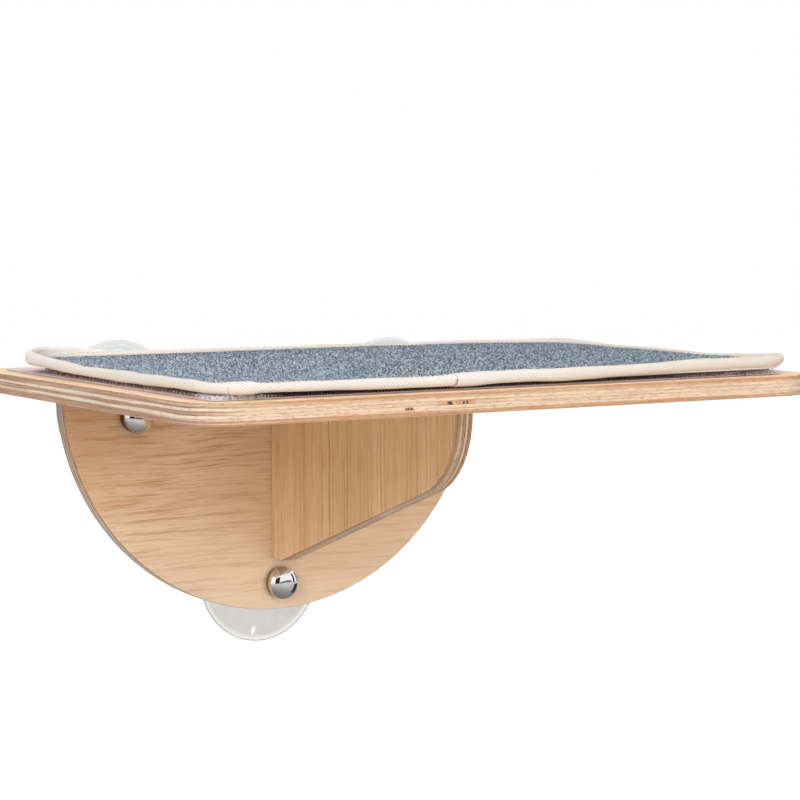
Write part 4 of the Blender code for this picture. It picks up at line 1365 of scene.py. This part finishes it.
# insets of the slab's rings from the mat's edge in mm, and the shares of the way in past them
SLAB_INSETS = (2.7, 4.2, 5.8, 7.2, 8.6, 10.5, 13.0, 17.0, 22.0)
SLAB_SHARES = (0.9, 0.78, 0.62, 0.46, 0.3, 0.14)
OPEN_FROM = 5.6
PRESSED_TO, PRESSED_FROM, PRESS_GAP = 7.0, 17.0, 0.3


def slab_underside(inset, p, way):
    """The slab's lower face, which the folded tape presses up near the edge."""
    flat = carpet_low.z + mat_lift(p.x, p.y)
    over_tape = (FOLD_LOW + edge_lie(way)[1] + TAPE + PRESS_GAP) * MM
    return flat + max(over_tape - flat, 0.0) * ramp(inset, PRESSED_FROM, PRESSED_TO)


def carpet_slab():
    """A closed slab with the mat's outline, whose both faces follow the mat's lie."""
    bm = bmesh.new()
    flat_rings = [[p for p, _, _ in mat_outline(inset * MM, SLAB_STEP)[0]] for inset in SLAB_INSETS]
    ways = [way for _, _, way in mat_outline(0.0, SLAB_STEP)[0]]
    insets = SLAB_INSETS + (PRESSED_FROM,) * len(SLAB_SHARES)
    middle = Vector((mat_centre.x, mat_centre.y))
    flat_rings += [[middle + (p - middle) * share for p in flat_rings[-1]] for share in SLAB_SHARES]
    open_pile = bm.verts.layers.float.new("open_pile")
    caps = []
    for side in ("under", "over"):
        rings = []
        for number, (inset, flat_ring) in enumerate(zip(insets, flat_rings)):
            if side == "under":
                heights = [slab_underside(inset, p, way) for p, way in zip(flat_ring, ways)]
            else:
                heights = [carpet_high.z - PILE + mat_lift(p.x, p.y) for p in flat_ring]
            ring = [bm.verts.new((p.x, p.y, z)) for p, z in zip(flat_ring, heights)]
            for vertex in ring:
                vertex[open_pile] = float(number >= len(SLAB_INSETS) or inset > OPEN_FROM)
            rings.append(ring)
        for first, second in zip(rings, rings[1:]):
            bridge(bm, first, second)
        bm.faces.new(rings[-1])
        caps.append(rings[0])
    bridge(bm, *caps)
    return closed_mesh(bm, "carpet_base", pile_base, 50)


carpet = show("carpet_base", carpet_slab())
print("carpet base", [round(v / MM, 1) for v in carpet.dimensions])

# %% [markdown]
# The tuft recipe scatters points over the top of the carpet at an even distance, but not under the
# binding's lip, where the pile is pressed flat. It stands a small leaning tuft on each point and
# writes down a tone for it, which the yarn's finish reads as light, medium or dark wool.

# %% Pile recipe
FACING_UP = 0.55
TUFT_TIP = 0.28 * MM
MOST_TUFTS = 600000.0
pile, sizes_in, pile_out = recipe("pile", {
    "Spacing": 1.5 * MM, "Height": PILE, "Width": 0.8 * MM, "Lean": 0.8, "Seed": 7,
    "Finish": steel_stand_in,
})
seed = sizes_in.outputs["Seed"]
facing_up = add(pile, "ShaderNodeSeparateXYZ", {0: add(pile, "GeometryNodeInputNormal").outputs[0]})
opened = add(pile, "GeometryNodeInputNamedAttribute", {"Name": "open_pile"}, data_type="FLOAT")
is_top = add(pile, "FunctionNodeCompare", {
    "A": times(facing_up.outputs["Z"], opened.outputs[0]), "B": FACING_UP,
}, data_type="FLOAT", operation="GREATER_THAN")
scattered = add(pile, "GeometryNodeDistributePointsOnFaces", {
    "Mesh": sizes_in.outputs["Geometry"], "Selection": is_top.outputs[0],
    "Distance Min": sizes_in.outputs["Spacing"], "Density Max": MOST_TUFTS, "Seed": seed,
}, distribute_method="POISSON")
tuft = add(pile, "GeometryNodeMeshCone", {
    "Vertices": 4, "Side Segments": 1, "Radius Top": TUFT_TIP,
    "Radius Bottom": sizes_in.outputs["Width"], "Depth": sizes_in.outputs["Height"],
}, fill_type="NGON")
tilt = leaning(sizes_in.outputs["Lean"], 0.0, math.tau, seed)
girth = random_between(0.8, 1.25, seed, 3)
tall = random_between(0.8, 1.15, seed, 4)
tufts = add(pile, "GeometryNodeInstanceOnPoints", {
    "Points": scattered.outputs["Points"], "Instance": tuft.outputs[0],
    "Rotation": tilt, "Scale": joined(girth, girth, tall),
})
toned = add(pile, "GeometryNodeStoreNamedAttribute", {
    "Geometry": tufts.outputs[0], "Name": "tuft_tone",
    "Value": random_between(0.0, 1.0, seed, 5),
}, data_type="FLOAT", domain="INSTANCE")
finish_recipe(pile_out, toned.outputs[0], sizes_in.outputs["Finish"])
print("pile recipe of", len(pile.nodes), "nodes")

# %% Pile
spacing = 1.55 * MM
tufted = cook("carpet_pile", carpet.data.copy(), pile, Spacing=spacing, Finish=pile_yarn)
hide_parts("mat_carpet")
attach(carpet, "mat")
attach(tufted, "mat")

# %% [markdown]
# ## Binding
# A cream cotton tape is folded round the mat's edge and sewn through. It is swept in mesh code
# rather than by a curve, because each ring of it needs its own wobble: hand-guided tape is never
# quite even. Its map runs along the edge and round the fold, in metres, so the twill lines of the
# tape can follow it round the corners.

# %% Where the tape's ends lap
LAP_X = -47.3 * MM
lap_start = edge_length - (half_wide - MAT_CORNER) + (LAP_X - mat_centre.x)
LAP_LENGTH, LAP_THICK, LAP_BOW = 16 * MM, 0.45 * MM, 1.7 * MM
print("the lap begins", round(lap_start / MM), "mm along the edge")


# %% Twill finish
# way along the edge of a crease, and from where to where round the fold it runs, in mm
CREASES = ((885.0, 5.0, 9.5), (268.0, 9.0, 16.0))
TWILL_PERIOD, TWILL_SLANT = 2.2 * MM, 1.2
TWILL_PAINTED_LIGHT = (
    # painted light at the far left, on the raised corner's inner face, and painted shade along the front
    # towards the right
    (0.7, (248, 242, 234), ("X", -90, -165), ("Y", -120, -75)),
    (0.5, (220, 202, 178), ("X", -40, 170), ("Y", -250, -290)),
)


def crease_shaded(along, round_fold, colour):
    """Painted shade of short creases across the tape, in a reddish tone."""
    for way, low_edge, high_edge in CREASES:
        away = maths("ABSOLUTE", maths("SUBTRACT", along, way * MM))
        crease_shade = times(remap(away, 0.9 * MM, 0.2 * MM), within(round_fold, low_edge, high_edge))
        colour = mixed(times(crease_shade, 0.35), colour, (186, 138, 118))
    return colour


def twill_tape(name):
    """Cream cotton tape with slanting twill lines, reading the tape's own map."""
    finish, tree, shader = new_finish(name, 0.85)
    tape = add(tree, "ShaderNodeSeparateXYZ", {0: add(tree, "ShaderNodeUVMap", uv_map="tape").outputs[0]})
    along, round_fold = tape.outputs["X"], tape.outputs["Y"]
    half_period = TWILL_PERIOD / 2
    slant = maths("MULTIPLY_ADD", round_fold, TWILL_SLANT, along)
    ridge = remap(maths("PINGPONG", slant, half_period), 0.0, half_period)
    place, axes = placed(tree)
    stretched = joined(times(along, 700.0), times(round_fold, 2600.0))
    yarn = noise(stretched, 1.0)
    soil = noise(place, 24.0, 3.0, 0.6)
    colour = tinted(
        (238, 232, 225), (remap(yarn, 0.45, 0.75, 0.0, 0.35), (228, 216, 203)),
        (remap(soil, 0.50, 0.75, 0.0, 0.4), (230, 217, 207)),
        # painted shade on the lower part of the fold, from its underside up
        (remap(round_fold, 8.0 * MM, 4.5 * MM, 0.0, 0.5), (224, 194, 160)),
    )
    colour = painted_light_washed(axes, colour, TWILL_PAINTED_LIGHT)
    furrow = remap(ridge, 0.05, 0.45, 1.0, 0.0)
    colour = mixed(furrow, colour, (236, 228, 218), "MULTIPLY")
    colour = crease_shaded(along, round_fold, colour)
    # painted shade along the step where the tape's ends lap
    lap = add(tree, "ShaderNodeAttribute", attribute_name="lap_shade").outputs["Fac"]
    colour = mixed(times(lap, 0.85), colour, (160, 108, 72))
    fill(shader, {"Base Color": colour, "Specular IOR Level": 0.2, "Sheen Weight": 0.15})
    bumped(shader, maths("MULTIPLY_ADD", yarn, 0.35, ridge), 0.3 * MM, 0.35)
    return finish


cream_twill = twill_tape("cream_twill_tape")
print("finish:", cream_twill.name)

# %% Tape section
LIP_TOP, LIP_UNDER = 7.4, 6.6
FOLD_HIGH = binding_high.z / MM + 0.3
FOLD_STEPS = 16
BULGE = 3.3
LIP_DROP, LIP_SINK = 0.35, 0.6
UNDER_EDGE, FOLD_CORE = 0.15, 2.3
FOLD_FULLNESS = 0.85
TOP_SHARES = (0.22, 0.45, 0.66, 0.84)


def top_height(inset, crest, lip, lip_top):
    """Height of the tape's upper face, which slopes from its crest to the edge of its lip."""
    return crest + (lip - crest) * eased(ramp(inset, BULGE, lip_top))


def lip_height(crest, x, y):
    """The lip's edge lies on the pile, or a little under the crest where the fold is low."""
    return min(crest - LIP_DROP, FOLD_HIGH - LIP_SINK + mat_lift(x, y) / MM)


def tape_section(extra, lip_top, crest, lip, low):
    """The folded tape in millimetres: (inset from the edge, height, way round, share of bow)."""
    middle, half_high = (low + crest) / 2, (crest - low) / 2
    bulge = min(half_high, BULGE) * 1.02
    outer = [(LIP_UNDER, low + UNDER_EDGE, 0.0)]
    for i in range(FOLD_STEPS + 1):
        turn = math.pi * i / FOLD_STEPS
        flat = math.copysign(abs(math.cos(turn)) ** FOLD_FULLNESS, math.cos(turn))
        outer.append((bulge * (1 - math.sin(turn)) - extra * math.sin(turn),
                      middle - half_high * flat - extra * math.cos(turn), math.sin(turn)))
    for inset in (BULGE + (lip_top - BULGE) * share for share in TOP_SHARES):
        outer.append((inset, top_height(inset, crest, lip, lip_top) + extra, 0.0))
    outer.append((lip_top, lip - 0.45 + extra * 0.5, 0.0))
    inner = [(lip_top - 0.1, lip - 0.5 - TAPE * 0.7, 0.0), (half_high, crest - TAPE * 1.3, 0.0),
             (FOLD_CORE, middle + 1.0, 0.0), (FOLD_CORE, middle - 1.0, 0.0), (half_high, low + TAPE, 0.0),
             (LIP_UNDER, low + TAPE + 0.1, 0.0)]
    section, way = [], 0.0
    last = outer[0]
    for point in outer + inner:
        way += math.dist(last[:2], point[:2])
        section.append((point[0], point[1], way, point[2]))
        last = point
    return section


flat_section = tape_section(0.0, LIP_TOP, FOLD_HIGH, FOLD_HIGH - LIP_SINK, FOLD_LOW)
print("tape section of", len(flat_section), "points")

# %% [markdown]
# Nine waves of random length and strength, drawn once with a fixed seed, make the tape's width
# and thickness wander. At the corners the tape is bunched, which makes its lip broader or
# narrower. Where its two ends lap, the tape thickens with a step and thins out again further on.

# %% Wobble, corners and lap
rng = random.Random(21)
tape_waves = [(rng.randint(5, 34), rng.uniform(0, math.tau), rng.uniform(0.04, 0.10)) for _ in range(9)]
# side share, depth share, millimetres and spread in mm: where the lip is broader or narrower,
# and where the fold leans outwards
CORNER_BUNCH = ((1.0, -1.0, 19.0, 46.0), (-1.0, -1.0, 2.0, 26.0), (1.0, 1.0, 1.5, 26.0),
                (-1.0, 1.0, -3.2, 30.0))
SPLAY = ((-1.0, 1.0, 1.9, 44.0),)
LAP_STEP, LAP_REACH = 0.06 * MM, 5 * MM
CLOSING_WAY = 0.8
CREST_WOBBLE, WALL_WOBBLE, WALL_EXTRA = 0.6, 0.5, 0.12


def lap_extra(walked):
    """Extra thickness where the tape's two ends lie over each other, in millimetres."""
    past = walked - lap_start
    if past < 0 or past > 2 * LAP_LENGTH:
        return 0.0
    return LAP_THICK / MM * min(1.0, (2 * LAP_LENGTH - past) / LAP_LENGTH)


def hills(x, y, listed):
    """Sum of some hills in millimetres."""
    return sum(rise * hill(x, y, side, depth, spread) for side, depth, rise, spread in listed)


print("waves round the edge:", sorted(count for count, _, _ in tape_waves))


# %% Binding sweep
def binding_mesh():
    """Sweep the section round the mat, with its wobble, its bunched corners and its lap."""
    stations = [(p, o, w, lap_extra(w)) for p, o, w in edge_points]
    place = next(i for i, s in enumerate(stations) if s[2] > lap_start)
    p, o, w, _ = stations[place - 1]
    ahead = Vector((-o.y, o.x))
    for shift, extra in ((LAP_STEP, LAP_THICK / MM), (0.0, 0.0)):
        at = lap_start + shift
        stations.insert(place, (p + ahead * (at - w), o, at, extra))
    bm = bmesh.new()
    uv = bm.loops.layers.uv.new("tape")
    shade = bm.verts.layers.float.new("lap_shade")
    rings, ways = [], []
    for spot_at, outwards, walked, extra in stations:
        turns = math.tau * walked / edge_length
        wobble = sum(a * math.sin(turns * n + phase) for n, phase, a in tape_waves)
        crest_rise, low_rise = edge_lie(walked)
        crest = FOLD_HIGH + crest_rise + wobble * CREST_WOBBLE
        lip_top = LIP_TOP + wobble + hills(spot_at.x, spot_at.y, CORNER_BUNCH)
        lip = lip_height(crest, spot_at.x, spot_at.y)
        extra += WALL_EXTRA + wobble * WALL_WOBBLE
        section = tape_section(extra, lip_top, crest, lip, FOLD_LOW + low_rise)
        ahead = Vector((-outwards.y, outwards.x))
        near_lap = math.exp(-abs(walked - lap_start) / LAP_REACH)
        splay = hills(spot_at.x, spot_at.y, SPLAY)
        ring = []
        for inset, height, _, bow in section:
            outer_share = max(0.0, 1 - inset / LIP_TOP)
            drawn_in = (inset - splay * outer_share) * MM
            at = spot_at - outwards * drawn_in + ahead * (LAP_BOW * bow * near_lap)
            vertex = bm.verts.new((at.x, at.y, height * MM))
            # the lower half of the ring at the lap's step carries the painted shade
            low_side = height < (crest + FOLD_LOW + low_rise) / 2 + 1.0
            vertex[shade] = 1.0 if walked == lap_start and low_side else 0.0
            ring.append(vertex)
        rings.append(ring)
        ways.append((walked, [way for _, _, way, _ in section]))
    for i, ring in enumerate(rings):
        j = (i + 1) % len(rings)
        (here, low_ways), (there, high_ways) = ways[i], ways[j]
        far = edge_length if j == 0 else there
        closing = low_ways[-1] + CLOSING_WAY
        low_ways, high_ways = [*low_ways, closing], [*high_ways, closing]
        for a, face in enumerate(bridge(bm, ring, rings[j])):
            tops = low_ways[a], low_ways[a + 1], high_ways[a + 1], high_ways[a]
            for loop, u, v in zip(face.loops, (here, here, far, far), tops):
                loop[uv].uv = (u, v * MM)
    return closed_mesh(bm, "binding_tape", cream_twill, 60)


binding = show("binding_tape", binding_mesh())
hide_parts("mat_binding")
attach(binding, "mat")
print("binding", len(binding.data.polygons), "faces")

# %% [markdown]
# Where the right front corner is lifted, the loop tape's edge comes out under the binding as a
# pale hem. It is a thin band swept along that part of the edge, and it grows out of nothing where
# the binding still lies down.

# %% Pale hem
HEM_START, HEM_FULL, HEM_END = edge_length - 96 * MM, edge_length - 40 * MM, edge_length + 27 * MM
HEM_INSETS = (1.9, 4.5, 8.2)
HEM_THICK, HEM_TUCK, HEM_LEAST = 0.85, 0.25, 0.05


def hem_mesh():
    """Sweep a thin band along the lifted corner, right under the binding."""
    along_front = [s for s in edge_points if s[2] >= HEM_START]
    round_corner = [(p, o, w + edge_length) for p, o, w in edge_points if w + edge_length < HEM_END]
    bm = bmesh.new()
    rings = []
    for spot_at, outwards, walked in along_front + round_corner:
        top = FOLD_LOW + edge_lie(walked)[1] + HEM_TUCK
        thick = (HEM_THICK + HEM_TUCK) * max(ramp(walked, HEM_START, HEM_FULL), HEM_LEAST)
        section = [(inset, top) for inset in HEM_INSETS]
        section += [(inset, top - thick) for inset in reversed(HEM_INSETS)]
        ring = []
        for inset, height in section:
            at = spot_at - outwards * (inset * MM)
            ring.append(bm.verts.new((at.x, at.y, height * MM)))
        rings.append(ring)
    for first, second in zip(rings, rings[1:]):
        bridge(bm, first, second)
    for end in (rings[0], rings[-1]):
        bm.faces.new(end)
    return closed_mesh(bm, "loop_tape_hem", pale_tape)


hem = show("loop_tape_hem", hem_mesh())
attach(hem, "mat")
print("hem", len(hem.data.polygons), "faces")

# %% [markdown]
# ## Stitches
# One row of lock stitches holds the tape down near its inner edge. Each stitch is a short bead of
# thread lying along the row. The recipe resamples the sewing line, which is a plain polyline,
# at the stitch length and lays a bead along its direction at each point.

# %% Stitch recipe
stitch_row, sizes_in, stitch_out = recipe("stitch_row", {
    "Pitch": 3.2 * MM, "Length": 2.3 * MM, "Thickness": 0.26 * MM, "Finish": steel_stand_in,
})
sewing_line = add(stitch_row, "GeometryNodeMeshToCurve", {"Mesh": sizes_in.outputs["Geometry"]})
marked = add(stitch_row, "GeometryNodeCurveToPoints", {
    "Curve": sewing_line.outputs[0], "Length": sizes_in.outputs["Pitch"],
}, mode="LENGTH")
bead = add(stitch_row, "GeometryNodeMeshUVSphere", {"Segments": 6, "Rings": 4, "Radius": 0.5})
bead_width = times(sizes_in.outputs["Thickness"], 2.0)
laid = add(stitch_row, "GeometryNodeInstanceOnPoints", {
    "Points": marked.outputs["Points"], "Instance": bead.outputs[0],
    "Rotation": marked.outputs["Rotation"],
    "Scale": joined(bead_width, bead_width, sizes_in.outputs["Length"]),
})
finish_recipe(stitch_out, laid.outputs[0], sizes_in.outputs["Finish"])
print("stitch recipe of", len(stitch_row.nodes), "nodes")

# %% Stitches
STITCH_INSET, STITCH_RISE = 5.7 * MM, 0.12
thread, tree, shader = new_finish("cream_thread", 0.6)
place, _ = placed(tree)
twist = noise(place, 2400.0)
fill(shader, {"Base Color": mixed(twist, (238, 228, 206), (206, 190, 160))})
bumped(shader, twist, 0.08 * MM, 0.7)

sewing = bpy.data.meshes.new("sewing_line")
line_at = []
for p, _, walked in mat_outline(STITCH_INSET)[0]:
    crest = FOLD_HIGH + edge_lie(walked)[0]
    lip_top = LIP_TOP + hills(p.x, p.y, CORNER_BUNCH)
    height = top_height(STITCH_INSET / MM, crest, lip_height(crest, p.x, p.y), lip_top) + STITCH_RISE
    line_at.append((p.x, p.y, height * MM))
sewing.from_pydata(line_at, [(i, (i + 1) % len(line_at)) for i in range(len(line_at))], [])
stitches = cook("binding_stitches", sewing, stitch_row, Finish=thread)
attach(stitches, "mat")

# %% [markdown]
# ## The sheet and the boxes
# The mat is one flat piece of carpet, cut to its outline and laid on the tapes, with its pile and
# its binding going with it. Last, the view keeps colours as they are written, and the finished
# perch's box is set against the frame's.

# %% Boxes and finish
bpy.context.scene.view_settings.view_transform = "Standard"
scene_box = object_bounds()
sizes = [corners[1] - corners[0] for corners in (cad_box, scene_box)]
print("grown by", [round((after - before) / MM, 2) for before, after in zip(*sizes)], "mm")
